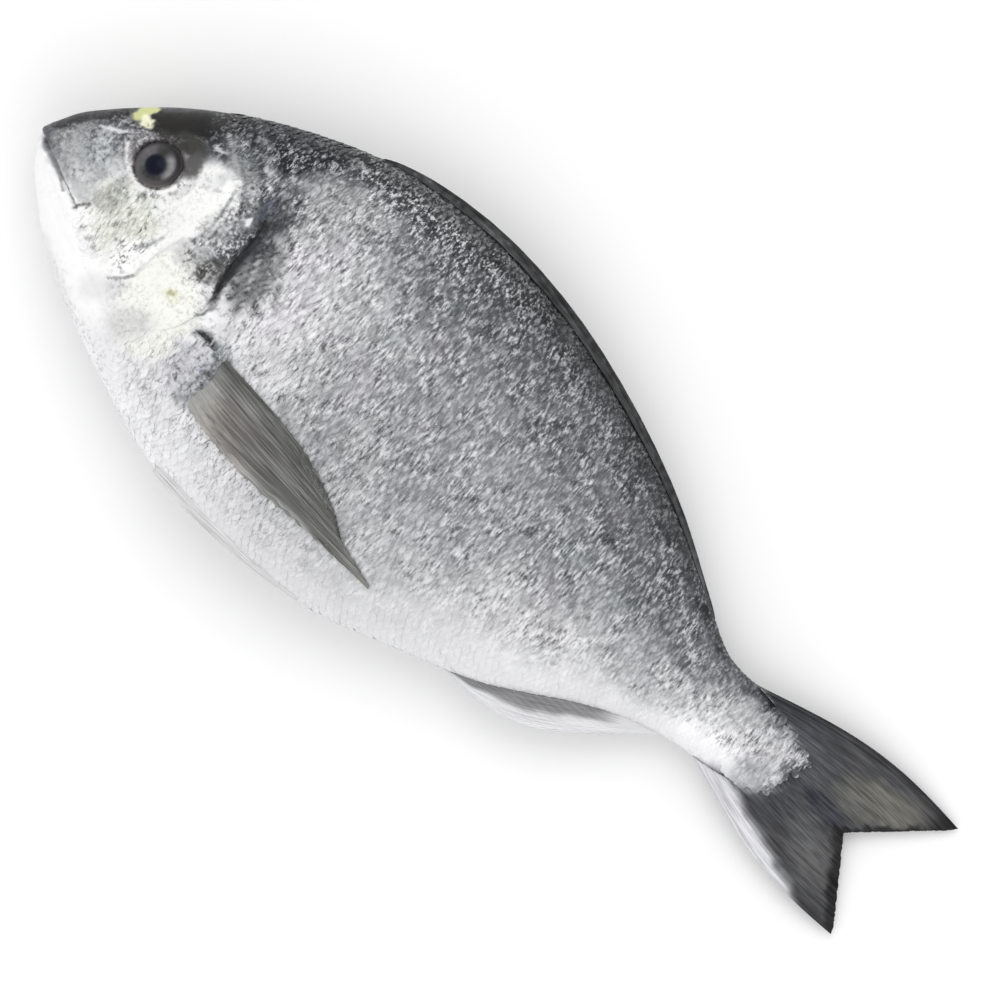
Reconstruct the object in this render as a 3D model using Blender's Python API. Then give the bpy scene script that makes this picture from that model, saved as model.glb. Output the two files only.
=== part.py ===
"""A whole raw gilt-head sea bream, lying on its right side with its left flank up.

Fish coordinates, in millimetres: x runs from the snout to the tail, y from the belly to the back and
z up from the table. One empty sets the fish down so that its box is centred over the world's origin.
"""

import math

import bmesh
import bpy
import numpy as np
from mathutils import Matrix, Vector

MM = 0.001
GAP = 0.3  # clearance between two neighbouring pieces

# ---- driving dimensions, mm ----
TOTAL_LENGTH = 303.6  # snout to the tip of the upper tail lobe
BODY_LENGTH = 259.7  # snout to the end of the scaled tail stalk
HIGHEST_POINT = 59.7  # crest of the folded dorsal fin above the snout's line
LOWEST_POINT = -50.2  # belly below the snout's line

# Curves along the body, as (x, value): the edges of the side view, and the thickness.
BACK = ((0, 5.4), (10, 16.0), (20, 25.5), (35, 36.3), (52, 45.2), (75, 53.6), (102, 56.8), (132, 54.2),
        (162, 46.4), (192, 34.4), (214, 22.4), (228, 15.4), (238, 14.6), (260, 14.6))
BELLY = ((0, -5.0), (10, -14.4), (20, -22.8), (35, -31.0), (55, -39.5), (80, -47.3), (110, -50.2),
         (136, -48.2), (160, -41.0), (173, -36.6), (184, -32.4), (194, -26.8), (205, -20.4), (214, -16.2),
         (226, -12.2), (238, -10.6), (260, -10.6))
RIDGE = ((0, 0.0), (30, 3.0), (90, 6.0), (150, 5.0), (210, 3.0), (260, 2.0))  # line of greatest thickness
HALF_THICKNESS = ((0, 4.6), (6, 8.0), (18, 12.4), (38, 17.0), (60, 19.8), (85, 21.3), (112, 21.2),
                  (142, 18.6), (172, 14.6), (200, 10.6), (224, 7.2), (238, 5.2), (248, 3.4), (260, 2.0))
MIDPLANE_HEIGHT = ((0, 18.4), (30, 19.4), (60, 20.3), (85, 20.6), (112, 20.4), (142, 18.2), (172, 15.0),
                   (200, 12.6), (236, 9.8), (260, 7.2), (304, 1.4))
NOSE_ROUNDING = 6.0  # length over which the snout rounds off
STALK_END = 238.0  # where the tail stalk starts to round off inside the tail fin
EDGE_ROUNDING = 4.0  # length over which the stalk's thickness rounds off
BACK_WEDGE = 1.12  # section exponent of the back: over 1 narrows it to a wedge
BELLY_ROUND = 0.94  # section exponent of the belly: under 1 fills it out

EYE_CENTRE = (29.7, 12.9)
EYE_RADIUS = 6.8
EYE_HALF_DEPTH = 4.4
EYE_SINK = 2.0  # how far the eyeball's centre lies under the cheek
GILL_SLIT = ((59.0, 26.0), (61.8, 14.3), (61.6, 6.0), (63.6, -3.4), (63.4, -10.0), (58.6, -19.6),
             (50.0, -26.4), (38.3, -29.6))  # rear edge of the gill cover, as (x, y)
CHEEK_FOLD = ((45.2, 12.0), (47.6, 3.6), (46.0, -7.5), (41.4, -16.0), (33.5, -20.2))  # edge of the cheek bone
MOUTH_LINE = ((20.3, -10.2), (14.0, -7.4), (7.0, -4.0), (1.6, -1.6))  # corner of the mouth to the snout
GILL_COVER_RISE = 1.2  # how far the gill cover swells out of the flank
GILL_COVER_LENGTH = 24.0  # from the cheek to the slit
GILL_COVER_FALL = 5.0  # length over which the flank behind the slit meets the cover's height
GILL_COVER_MIDDLE = -2.0  # height y of the cover's middle
GILL_COVER_HALF_HEIGHT = 25.0
GILL_COVER_FADE = 12.0  # how gently the cover ends above and below
COVER_EDGE_REACH = 6.0  # the cover's swelling fades where the section is thinner than this
SLIT_RADIUS = 1.0
FOLD_RADIUS = 0.7
MOUTH_RADIUS = 0.9

DORSAL_FIN = (72.0, 218.0)  # first and last x of the folded dorsal fin
DORSAL_HEIGHT = 3.0
DORSAL_HALF_THICKNESS = 2.3
DORSAL_TAPER = 0.35  # share of its thickness that the fin loses at its crest
ANAL_FIN = (171.0, 229.0)
ANAL_HEIGHT = 8.0
ANAL_HALF_THICKNESS = 1.3
ANAL_TAPER = 0.5
ANAL_SWEEP = 3.0  # how far the fin's lower edge leans back
PECTORAL_TOP = ((75.5, -13.4), (91.0, -15.1), (107.0, -17.4), (117.0, -20.8), (126.0, -25.4), (131.0, -28.8),
                (137.0, -30.8), (144.0, -33.2))
PECTORAL_BOTTOM = ((75.5, -28.8), (85.0, -31.4), (100.0, -33.4), (122.0, -33.4), (133.0, -33.6),
                   (144.0, -34.0))
PECTORAL_THICKNESS = 1.1
PECTORAL_LEAN = 0.6  # how far the root's upper corner lies behind its middle
PECTORAL_ROOT_ROUNDING = 0.03  # share of the fin's length
PECTORAL_GAP = 0.5  # clearance to the flank's curve, which the solid's flat faces cut short
PELVIC_FIN = (81.0, 132.0)
PELVIC_ANGLE = 170.0  # degrees round the section from the back
PELVIC_HALF_WIDTH = 3.2
BELLY_ARC = 22.4  # distance round the section for one radian, beside the belly's edge
PELVIC_THICKNESS = 1.3
PRESSED_DEPTH = PECTORAL_GAP + PECTORAL_THICKNESS + 0.3  # flesh pressed in over the lower pectoral fin
PRESSED_MARGIN = 4.0  # how far round the fin the flesh stays pressed in
PRESSED_SLOPE = 0.35  # how steeply it comes down to the table again

TAIL_UPPER_TIP = (303.6, 21.4)
TAIL_LOWER_TIP = (296.8, -21.8)
TAIL_FORK = (280.8, 0.6)
TAIL_BOW = (3.5, 2.7)  # how far the upper and lower edges of the tail fin swell
TAIL_ROOT_THICKNESS = 1.6  # half thickness at the stalk
TAIL_EDGE_THICKNESS = 0.45  # half thickness at the rear edge

FIN_FOOT = 0.2  # share of a round fin solid that is flattened against the body
FIN_UNDERSIDE = 0.25  # height of a blade's underside, as a share of its thickness

RING_CROWDING = 0.74  # how strongly the body's rings crowd towards the snout and the tail
BODY_RINGS = 68
BODY_SEGMENTS = 28

COLOURS = {  # base colour, roughness
    "skin": ((0.30, 0.31, 0.32), 0.35),
    "eye": ((0.03, 0.04, 0.05), 0.10),
    "dark_fin": ((0.07, 0.07, 0.07), 0.45),
    "grey_fin": ((0.17, 0.17, 0.15), 0.45),
    "pale_fin": ((0.55, 0.56, 0.56), 0.45),
}


# ---- curves ----
def smooth_curve(points):
    """The smooth function through (x, value) points."""
    xs, values = np.array(points, float).T
    slopes = np.gradient(values, xs)

    def value(x):
        i = int(np.clip(np.searchsorted(xs, x) - 1, 0, len(xs) - 2))
        span = xs[i + 1] - xs[i]
        u = min(max((x - xs[i]) / span, 0.0), 1.0)
        rise = values[i] * (1 + 2 * u) * (1 - u) ** 2 + values[i + 1] * u * u * (3 - 2 * u)
        return rise + span * u * (1 - u) * (slopes[i] * (1 - u) - slopes[i + 1] * u)

    return value


def smooth_path(points, steps):
    """Points evenly spread along a smooth curve through a few (x, y) points."""
    lengths = np.concatenate([[0.0], np.cumsum(np.linalg.norm(np.diff(points, axis=0), axis=1))])
    along = [smooth_curve(list(zip(lengths, column))) for column in zip(*points)]
    return [tuple(f(s) for f in along) for s in np.linspace(0.0, lengths[-1], steps)]


def ease(u):
    u = min(max(u, 0.0), 1.0)
    return u * u * (3 - 2 * u)


back = smooth_curve(BACK)
belly = smooth_curve(BELLY)
ridge = smooth_curve(RIDGE)
half_thickness = smooth_curve(HALF_THICKNESS)
midplane = smooth_curve(MIDPLANE_HEIGHT)
gill_edge = smooth_curve([(y, x) for x, y in reversed(GILL_SLIT)])
pectoral_top = smooth_curve(PECTORAL_TOP)
pectoral_bottom = smooth_curve(PECTORAL_BOTTOM)


# ---- the body's surface ----
def round_off(from_end, length):
    """0 at an end, rising as a quarter circle to 1."""
    u = 1 - min(max(from_end / length, 0.0), 1.0)
    return math.sqrt(1 - u * u)


def section(x):
    """Centre height y, reach up to the back, reach down to the belly and half thickness, at x."""
    outline = round_off(x, NOSE_ROUNDING) * round_off(BODY_LENGTH - x, BODY_LENGTH - STALK_END)
    width = round_off(x, NOSE_ROUNDING) * round_off(BODY_LENGTH - x, EDGE_ROUNDING)
    centre = ridge(x)
    return centre, (back(x) - centre) * outline, (centre - belly(x)) * outline, half_thickness(x) * width


def gill_cover_rise(x, y):
    """The bony cover swells out ahead of the slit and sinks back to the shoulder behind it."""
    ahead = gill_edge(y) - x
    along = ease(1 - ahead / GILL_COVER_LENGTH) * ease(1 + ahead / GILL_COVER_FALL)
    above_or_below = GILL_COVER_HALF_HEIGHT - abs(y - GILL_COVER_MIDDLE)
    return GILL_COVER_RISE * along * ease(above_or_below / GILL_COVER_FADE)


def pressed_height(x, y):
    """Height that the lower flank keeps above the table, over the fin that it lies on."""
    inside = min(x - PECTORAL_TOP[0][0], PECTORAL_TOP[-1][0] - x, pectoral_top(x) - y, y - pectoral_bottom(x))
    outside = max(-inside - PRESSED_MARGIN, 0.0)
    return PRESSED_DEPTH - PRESSED_SLOPE * outside


def settle(x, y, reach, side):
    """Height of the skin that stands `reach` out from the midplane on one side."""
    height = midplane(x) + side * (reach + gill_cover_rise(x, y) * ease(reach / COVER_EDGE_REACH))
    return height if side > 0 else max(height, pressed_height(x, y))


def skin_point(x, angle):
    """A point of the skin: angle 0 is the back, 90 degrees the upper flank, 180 the belly."""
    centre, up, down, width = section(x)
    c, s = math.cos(angle), math.sin(angle)
    shape = BACK_WEDGE if c > 0 else BELLY_ROUND
    y = centre + (up if c > 0 else down) * math.copysign(abs(c) ** min(shape, 1.0), c)
    return Vector((x, y, settle(x, y, width * abs(s) ** max(shape, 1.0), math.copysign(1, s))))


def flank_height(x, y, side):
    """Height of the skin over a place in the side view."""
    centre, up, down, width = section(x)
    shape, reach = (BACK_WEDGE, up) if y > centre else (BELLY_ROUND, down)
    c = min(abs(y - centre) / max(reach, 1e-6), 1.0) ** (1 / min(shape, 1.0))
    return settle(x, y, width * math.sqrt(1 - c * c) ** max(shape, 1.0), side)


def skin_normal(x, angle):
    step = 0.01
    along = skin_point(x + step, angle) - skin_point(x - step, angle)
    around = skin_point(x, angle + step) - skin_point(x, angle - step)
    return around.cross(along).normalized()


def flank_normal(x, y, side):
    step = 0.4
    along = Vector((2 * step, 0, flank_height(x + step, y, side) - flank_height(x - step, y, side)))
    across = Vector((0, 2 * step, flank_height(x, y + step, side) - flank_height(x, y - step, side)))
    return side * along.cross(across).normalized()


# ---- making objects ----
def clear_scene():
    for obj in list(bpy.data.objects):
        bpy.data.objects.remove(obj, do_unlink=True)


def material(name):
    colour, roughness = COLOURS[name]
    made = bpy.data.materials.get(name) or bpy.data.materials.new(name)
    made.use_nodes = True
    shader = made.node_tree.nodes["Principled BSDF"]
    shader.inputs["Base Color"].default_value = (*colour, 1.0)
    shader.inputs["Roughness"].default_value = roughness
    return made


def new_collection(name):
    made = bpy.data.collections.new(name)
    bpy.context.scene.collection.children.link(made)
    return made


def add_object(name, bm, collection, finish=None):
    """Turns a bmesh in millimetres into an object set down with the fish."""
    bmesh.ops.scale(bm, vec=(MM, MM, MM), verts=bm.verts)
    bmesh.ops.recalc_face_normals(bm, faces=bm.faces)
    mesh = bpy.data.meshes.new(name)
    bm.to_mesh(mesh)
    bm.free()
    mesh.shade_smooth()
    obj = bpy.data.objects.new(name, mesh)
    collection.objects.link(obj)
    obj.parent = whole_fish
    if finish:
        mesh.materials.append(material(finish))
    return obj


def ball(rings, segments):
    """A unit sphere whose poles lie on the x axis."""
    bm = bmesh.new()
    bmesh.ops.create_uvsphere(bm, u_segments=segments, v_segments=rings, radius=1.0)
    bmesh.ops.rotate(bm, verts=bm.verts, cent=(0, 0, 0), matrix=Matrix.Rotation(math.radians(90), 3, "Y"))
    return bm


def shape_ball(bm, place):
    """Moves each point to place(s, across, height): s runs 0 to 1 from pole to pole."""
    for vert in bm.verts:
        x, y, z = vert.co
        radius = math.hypot(y, z)
        s = math.acos(min(max(-x, -1.0), 1.0)) / math.pi
        vert.co = place(s, y / radius, z / radius) if radius > 1e-5 else place(round(s), 0.0, 0.0)
    return bm


def tube(points, radius, sides=6):
    """A closed tube along a route, to cut a groove with."""
    data = bpy.data.curves.new("route", "CURVE")
    data.dimensions = "3D"
    data.bevel_depth = radius
    data.bevel_resolution = sides // 2 - 2
    data.use_fill_caps = True
    spline = data.splines.new("POLY")
    spline.points.add(len(points) - 1)
    for target, point in zip(spline.points, points):
        target.co = (*point, 1.0)
    guide = bpy.data.objects.new("route", data)
    bpy.context.scene.collection.objects.link(guide)
    mesh = bpy.data.meshes.new_from_object(guide.evaluated_get(bpy.context.evaluated_depsgraph_get()))
    bpy.data.objects.remove(guide)
    return mesh


def cut(obj, name, bm):
    """Cuts a bmesh out of an object."""
    bmesh.ops.remove_doubles(bm, verts=bm.verts, dist=0.01)
    cutter = add_object(name, bm, cutters)
    cutter.hide_render = True
    cutter.display_type = "WIRE"
    modifier = obj.modifiers.new(name, "BOOLEAN")
    modifier.operation = "DIFFERENCE"
    modifier.solver = "EXACT"
    modifier.object = cutter


# ---- the pieces ----
def make_body():
    def place(s, across, height):
        x = BODY_LENGTH * (s - RING_CROWDING * math.sin(2 * math.pi * s) / (2 * math.pi))
        return skin_point(x, math.atan2(height, across))

    bm = shape_ball(ball(BODY_RINGS, BODY_SEGMENTS), place)
    cutting = bmesh.ops.bisect_plane(
        bm, geom=bm.verts[:] + bm.edges[:] + bm.faces[:], dist=1e-4,
        plane_co=(0, 0, 0), plane_no=(0, 0, -1), clear_outer=True)
    rim = [edge for edge in cutting["geom_cut"] if isinstance(edge, bmesh.types.BMEdge)]
    bmesh.ops.edgeloop_fill(bm, edges=rim)
    return add_object("body", bm, fish, "skin")


def cut_head_lines(body):
    """Grooves for the gill slits, the cheek bones and the mouth."""
    grooves = bmesh.new()
    for side in (1, -1):
        for line, radius in ((GILL_SLIT, SLIT_RADIUS), (CHEEK_FOLD, FOLD_RADIUS)):
            route = [(x, y, flank_height(x, y, side)) for x, y in smooth_path(line, 22)]
            grooves.from_mesh(tube(route, radius))
    cut(body, "gill_and_cheek_lines", grooves)

    left = [(x, y, flank_height(x, y, 1)) for x, y in smooth_path(MOUTH_LINE, 10)]
    right = [(x, y, flank_height(x, y, -1)) for x, y in smooth_path(MOUTH_LINE, 10)][::-1]
    tip = [(-0.1, -0.6, midplane(0.0))]
    mouth = bmesh.new()
    mouth.from_mesh(tube(left + tip + right, MOUTH_RADIUS))
    cut(body, "mouth_line", mouth)


def eyeball(side, clearance):
    x, y = EYE_CENTRE
    normal = flank_normal(x, y, side)
    bm = bmesh.new()
    bmesh.ops.create_uvsphere(bm, u_segments=20, v_segments=10, radius=1.0)
    size = (EYE_RADIUS + clearance, EYE_RADIUS + clearance, EYE_HALF_DEPTH + clearance)
    bmesh.ops.scale(bm, vec=size, verts=bm.verts)
    turn = normal.to_track_quat("Z", "Y").to_matrix()
    bmesh.ops.rotate(bm, verts=bm.verts, cent=(0, 0, 0), matrix=turn)
    centre = Vector((x, y, flank_height(x, y, side))) - normal * EYE_SINK
    bmesh.ops.translate(bm, verts=bm.verts, vec=centre)
    return bm


def make_eyes(body):
    for name, side in (("eye_left", 1), ("eye_right", -1)):
        add_object(name, eyeball(side, 0.0), fish, "eye")
        cut(body, name + "_socket", eyeball(side, GAP))


def above_foot(height):
    """Height on a ring (-1 to 1) as a share of the fin's height, with the ring's lower part flattened."""
    return (max(height, -FIN_FOOT) + FIN_FOOT) / (1 + FIN_FOOT)


def blade_face(height):
    """Share of a blade's thickness at a height on its ring (-1 to 1)."""
    if height < -0.5:
        return 0.0
    return FIN_UNDERSIDE + (1 - FIN_UNDERSIDE) * max(height, 0.0)


def make_dorsal_fin():
    first, last = DORSAL_FIN

    def place(s, across, height):
        x = first + (last - first) * s
        fade = math.sin(math.pi * s ** 0.8) ** 0.5 if 0 < s < 1 else 0.0
        root = ridge(x) + section(x)[1] + GAP
        rise = above_foot(height)
        side = across * DORSAL_HALF_THICKNESS * fade * (1 - DORSAL_TAPER * rise)
        return Vector((x, root + DORSAL_HEIGHT * fade * rise, midplane(x) + side))

    add_object("dorsal_fin", shape_ball(ball(30, 10), place), fish, "dark_fin")


def make_anal_fin():
    first, last = ANAL_FIN

    def place(s, across, height):
        x = first + (last - first) * s
        fade = math.sin(math.pi * s) ** 1.2 if 0 < s < 1 else 0.0
        root = ridge(x) - section(x)[2] - GAP
        drop = above_foot(height)
        side = across * ANAL_HALF_THICKNESS * min(fade * 2, 1.0) * (1 - ANAL_TAPER * drop)
        return Vector((x + ANAL_SWEEP * drop * fade, root - ANAL_HEIGHT * fade * drop, midplane(x) + side))

    add_object("anal_fin", shape_ball(ball(20, 10), place), fish, "grey_fin")


def make_pectoral_fins():
    """Blades lying flat on the flanks, blunt at the root and pointed at the tip."""
    first, last = PECTORAL_TOP[0][0], PECTORAL_TOP[-1][0]
    for name, side in (("pectoral_fin_left", 1), ("pectoral_fin_right", -1)):

        def place(s, across, height, side=side):
            x = first + (last - first) * s
            top, bottom = pectoral_top(x), pectoral_bottom(x)
            blunt = round_off(s, PECTORAL_ROOT_ROUNDING)
            y = (top + bottom) / 2 + across * blunt * (top - bottom) / 2
            x += (1 - s) * PECTORAL_LEAN * across * blunt
            lift = PECTORAL_GAP + PECTORAL_THICKNESS * blade_face(height) * (1 - 0.4 * s)
            return Vector((x, y, flank_height(x, y, side) + side * lift))

        add_object(name, shape_ball(ball(20, 12), place), fish, "grey_fin")


def make_pelvic_fins():
    """Narrow blades folded back along the belly."""
    first, last = PELVIC_FIN
    for name, side in (("pelvic_fin_left", 1), ("pelvic_fin_right", -1)):

        def place(s, across, height, side=side):
            x = first + (last - first) * s
            fade = math.sin(math.pi * s ** 0.55) ** 0.7 if 0 < s < 1 else 0.0
            turn = across * PELVIC_HALF_WIDTH * fade / BELLY_ARC
            angle = side * (math.radians(PELVIC_ANGLE) + turn)
            lift = GAP + PELVIC_THICKNESS * blade_face(height) * (1 - 0.5 * s)
            return skin_point(x, angle) + skin_normal(x, angle) * lift

        add_object(name, shape_ball(ball(18, 10), place), fish, "pale_fin")


def make_tail_fin():
    """A forked blade whose root wraps the rounded end of the tail stalk."""
    reach = BODY_LENGTH - STALK_END + GAP
    bm = bmesh.new()
    bmesh.ops.create_grid(bm, x_segments=14, y_segments=16, size=1.0)
    centre = ridge(BODY_LENGTH)
    up, down = back(STALK_END) - centre + GAP, centre - belly(STALK_END) + GAP
    for vert in bm.verts:
        s, t = (vert.co.x + 1) / 2, vert.co.y
        angle = t * math.pi / 2
        root = (STALK_END + reach * math.cos(angle), centre + (up if t > 0 else down) * math.sin(angle))
        tip = TAIL_UPPER_TIP if t > 0 else TAIL_LOWER_TIP
        rear = [TAIL_FORK[i] + (tip[i] - TAIL_FORK[i]) * abs(t) for i in (0, 1)]
        bow = TAIL_BOW[0 if t > 0 else 1] * math.sin(math.pi * s ** 1.1) * t * abs(t)
        x, y = (root[i] + (rear[i] - root[i]) * s for i in (0, 1))
        vert.co = (x, y + bow, midplane(x))
    blade = bm.faces[:]
    bmesh.ops.recalc_face_normals(bm, faces=blade)
    bmesh.ops.solidify(bm, geom=blade, thickness=2.0)
    for vert in bm.verts:
        x, y, z = vert.co
        s = ease((x - STALK_END) / (TAIL_UPPER_TIP[0] - STALK_END))
        half = TAIL_ROOT_THICKNESS + (TAIL_EDGE_THICKNESS - TAIL_ROOT_THICKNESS) * s
        middle = midplane(x)
        vert.co.z = middle + math.copysign(half, z - middle + 0.5)
    return add_object("caudal_fin", bm, fish, "dark_fin")


clear_scene()
fish = new_collection("whole_raw_fish")
cutters = new_collection("cutters")
whole_fish = bpy.data.objects.new("whole_fish", None)
whole_fish.location = (-TOTAL_LENGTH / 2 * MM, -(HIGHEST_POINT + LOWEST_POINT) / 2 * MM, 0.0)
bpy.context.scene.collection.objects.link(whole_fish)

body_object = make_body()
cut_head_lines(body_object)
make_eyes(body_object)
make_dorsal_fin()
make_anal_fin()
make_pectoral_fins()
make_pelvic_fins()
make_tail_fin()
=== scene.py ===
"""The looks of a whole raw gilt-head sea bream that lies on its right side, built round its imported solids.

The fish is laid out in millimetres, in fish coordinates: x from the snout to the tail, y from the belly
to the back, z up from the table. world() takes them to the frame's metres.
"""
import math

import bmesh
import bpy
import numpy as np
from mathutils import Matrix, Vector

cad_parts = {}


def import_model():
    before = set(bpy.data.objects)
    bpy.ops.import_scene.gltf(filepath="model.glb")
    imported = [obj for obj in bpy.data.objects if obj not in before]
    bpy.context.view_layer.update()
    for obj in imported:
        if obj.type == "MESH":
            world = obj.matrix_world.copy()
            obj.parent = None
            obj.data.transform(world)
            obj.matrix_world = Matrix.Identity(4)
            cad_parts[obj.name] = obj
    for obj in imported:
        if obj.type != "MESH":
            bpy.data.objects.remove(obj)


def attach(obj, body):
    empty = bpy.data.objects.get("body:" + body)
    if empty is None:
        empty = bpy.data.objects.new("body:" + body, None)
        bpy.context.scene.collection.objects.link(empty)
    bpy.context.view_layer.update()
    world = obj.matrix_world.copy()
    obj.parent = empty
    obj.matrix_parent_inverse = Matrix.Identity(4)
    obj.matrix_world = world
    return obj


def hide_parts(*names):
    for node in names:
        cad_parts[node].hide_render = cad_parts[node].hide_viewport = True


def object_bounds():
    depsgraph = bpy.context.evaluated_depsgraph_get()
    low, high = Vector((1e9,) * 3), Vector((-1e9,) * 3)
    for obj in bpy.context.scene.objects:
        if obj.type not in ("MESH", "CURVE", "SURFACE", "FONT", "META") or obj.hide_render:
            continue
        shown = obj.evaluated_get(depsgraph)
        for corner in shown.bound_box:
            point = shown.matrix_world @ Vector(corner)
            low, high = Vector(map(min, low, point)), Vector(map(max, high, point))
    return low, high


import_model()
CAD_LOW, CAD_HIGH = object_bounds()

# ---- the fish's dimensions, mm, as the solids have them ----
TOTAL_LENGTH = 303.6
BODY_LENGTH = 259.7
HIGHEST_POINT = 59.7
LOWEST_POINT = -50.2
BACK = ((0, 5.4), (10, 16.0), (20, 25.5), (35, 36.3), (52, 45.2), (75, 53.6), (102, 56.8), (132, 54.2),
        (162, 46.4), (192, 34.4), (214, 22.4), (228, 15.4), (238, 14.6), (260, 14.6))
BELLY = ((0, -5.0), (10, -14.4), (20, -22.8), (35, -31.0), (55, -39.5), (80, -47.3), (110, -50.2),
         (136, -48.2), (160, -41.0), (173, -36.6), (184, -32.4), (194, -26.8), (205, -20.4), (214, -16.2),
         (226, -12.2), (238, -10.6), (260, -10.6))
RIDGE = ((0, 0.0), (30, 3.0), (90, 6.0), (150, 5.0), (210, 3.0), (260, 2.0))
HALF_THICKNESS = ((0, 4.6), (6, 8.0), (18, 12.4), (38, 17.0), (60, 19.8), (85, 21.3), (112, 21.2),
                  (142, 18.6), (172, 14.6), (200, 10.6), (224, 7.2), (238, 5.2), (248, 3.4), (260, 2.0))
MIDPLANE_HEIGHT = ((0, 18.4), (30, 19.4), (60, 20.3), (85, 20.6), (112, 20.4), (142, 18.2), (172, 15.0),
                   (200, 12.6), (236, 9.8), (260, 7.2), (304, 1.4))
NOSE_ROUNDING = 6.0
STALK_END = 238.0
EDGE_ROUNDING = 4.0
BACK_WEDGE = 1.12
BELLY_ROUND = 0.94
EYE_CENTRE = (29.7, 12.9)
GILL_SLIT = ((59.0, 26.0), (61.8, 14.3), (61.6, 6.0), (63.6, -3.4), (63.4, -10.0), (58.6, -19.6),
             (50.0, -26.4), (38.3, -29.6))
CHEEK_EDGE = ((45.2, 12.0), (47.6, 3.6), (46.0, -7.5), (41.4, -16.0), (33.5, -20.2))
MOUTH_LINE = ((21.0, -10.2), (14.0, -7.2), (7.0, -3.9), (1.6, -1.6), (-1.0, -0.9))
SIDE_LINE = ((20, 20.0), (60, 27.0), (100, 31.0), (140, 27.5), (180, 18.5), (215, 8.5), (245, 3.0),
             (260, 2.0))
PECTORAL_TOP = ((75.5, -13.4), (91.0, -15.1), (107.0, -17.4), (117.0, -20.8), (126.0, -25.4),
                (131.0, -28.8), (137.0, -30.8), (144.0, -33.2))
PECTORAL_BOTTOM = ((75.5, -28.8), (85.0, -31.4), (100.0, -33.4), (122.0, -33.4), (133.0, -33.6),
                   (144.0, -34.0))
PRESSED_DEPTH = 1.9  # the lower flank's height over the table where it lies on its pectoral fin
PRESSED_MARGIN = 4.0
PRESSED_SLOPE = 0.35
GILL_COVER_RISE = 1.2
GILL_COVER_LENGTH = 24.0
DORSAL_FIN = (72.0, 218.0)
ANAL_FIN = (171.0, 229.0)
PELVIC_FIN = (81.0, 132.0)
TAIL_UPPER_TIP = (303.6, 21.4)
TAIL_LOWER_TIP = (296.8, -21.8)
TAIL_FORK = (280.8, 0.6)
TAIL_BOW = (4.1, 3.5)

# ---- the dressing's own sizes, mm ----
TABLE_GAP = 0.03  # no scale comes nearer to the table than this
FIN_TABLE_GAP = 0.05
FIN_LEAST_THICKNESS = 0.1  # where a fin lies on the table
SCALED_FRONT = ((-50, 70), (-40, 60), (-33, 54), (-26.4, 51), (-19.6, 60), (-15.6, 67), (-12, 73), (-4, 71),
                (3, 74.4), (9, 74.6), (14.3, 71.0), (20, 64), (26, 54), (31, 43), (36, 35.5), (60, 34))
SCALE_PITCH = 2.25  # from one scale to the next along a row, where the fish is deepest
ROW_SPACING = 2.72
SCALE_LENGTH = 1.75  # in pitches
SCALE_WIDTH = 0.95  # half width, in row spacings
SCALE_SHRINK = 0.42
SCALE_RISE = 0.26
SCALE_FRONT_DEPTH = -0.22
SCALE_THICKNESS = 0.1
SCALE_CLEARANCE = 0.35  # the lower flank's scales lie this far over the table before they tilt
SCALE_ROWS = 75  # more rows than there is room for, above the side line and below it
LAST_SCALE = 247.0
CHEEK_PITCH = 1.65
TAIL_PITCH = 1.5
SIDE_LINE_SHADE = 0.88  # the tubes along the side line are this much darker
SKIN_SINK = 0.3  # the bare skin lies this far under the solid's surface, to leave room for the scales
SKIN_CLEARANCE = 0.65
PLATE_CLEARANCE = 0.05
GILL_PLATE = (26.0, (-29.2, 26.0))  # a plate's length, and its lowest and highest place
CHEEK_PLATE = (20.0, (-20.4, 12.2))
PLATE_THICKNESS = 0.5
JAW_BONE = ((20.2, -9.9), (23.6, -6.8), (22.0, -3.6), (15.0, -0.8), (8.0, 1.6))
NOSTRILS = (((16.0, 16.6), (0.6, 0.55), 0.7), ((18.9, 17.2), (1.3, 0.5), 0.9))  # centre, radii, depth
SKIN_FOLDS = (  # line, depth, width
    (((3.5, -6.0), (12.0, -12.4), (22.0, -17.2), (33.0, -21.5)), 0.2, 0.8),
    (((26.0, -14.2), (32.0, -19.5), (40.0, -23.6), (49.0, -29.4)), 0.4, 0.7),
    (((12.5, 16.4), (15.5, 18.0), (20.0, 18.6), (24.0, 19.6)), 0.4, 0.6),
)
EYE_RADIUS = 6.6
EYE_HALF_DEPTH = 4.3
EYE_SINK = 2.0
CORNEA_BULGE = 0.35
PUPIL_OFFSET = (0.2, -1.0)
DORSAL_HEIGHT = 3.0
DORSAL_HALF_THICKNESS = 2.3
SPINE_SLANT = 26.0
SPINE_SPACING = 9.0
ANAL_HEIGHT = 8.0
ANAL_HALF_THICKNESS = 1.3
RAY_SLANT = 15.0
RAY_SPACING = 2.6
PECTORAL_GAP = 0.5
PECTORAL_SINK = 0.35  # the fin's front edge starts this far inside the flank
PECTORAL_ROOT = (72.6, -21.4)
PECTORAL_ROOT_RADII = (5.0, 7.8, 1.15)
RAYS_MEET = (220.0, -38.0)  # the pectoral fin's rays all run towards this place
RAY_ANGLE = 0.0072
PELVIC_ANGLE = 170.0
PELVIC_HALF_WIDTH = 3.2
BELLY_ARC = 22.4  # distance round the section for one radian, beside the belly's edge
PELVIC_THICKNESS = 1.3
TAIL_RAYS = (8.5, 17, 34)  # near the root, after the first fork and after the second
TAIL_ROOT_THICKNESS = 1.6
TAIL_EDGE_THICKNESS = 0.45
TAIL_FRAY = 0.2
TAIL_SCALED_EDGE = ((-12.0, 252.0), (-8.6, 252.6), (-6.0, 254.6), (-3.5, 257.2), (1.0, 258.2), (5.0, 258.8),
                    (8.0, 260.0), (10.0, 257.6), (12.0, 250.5), (14.0, 242.0), (17.0, 234.0))
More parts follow.
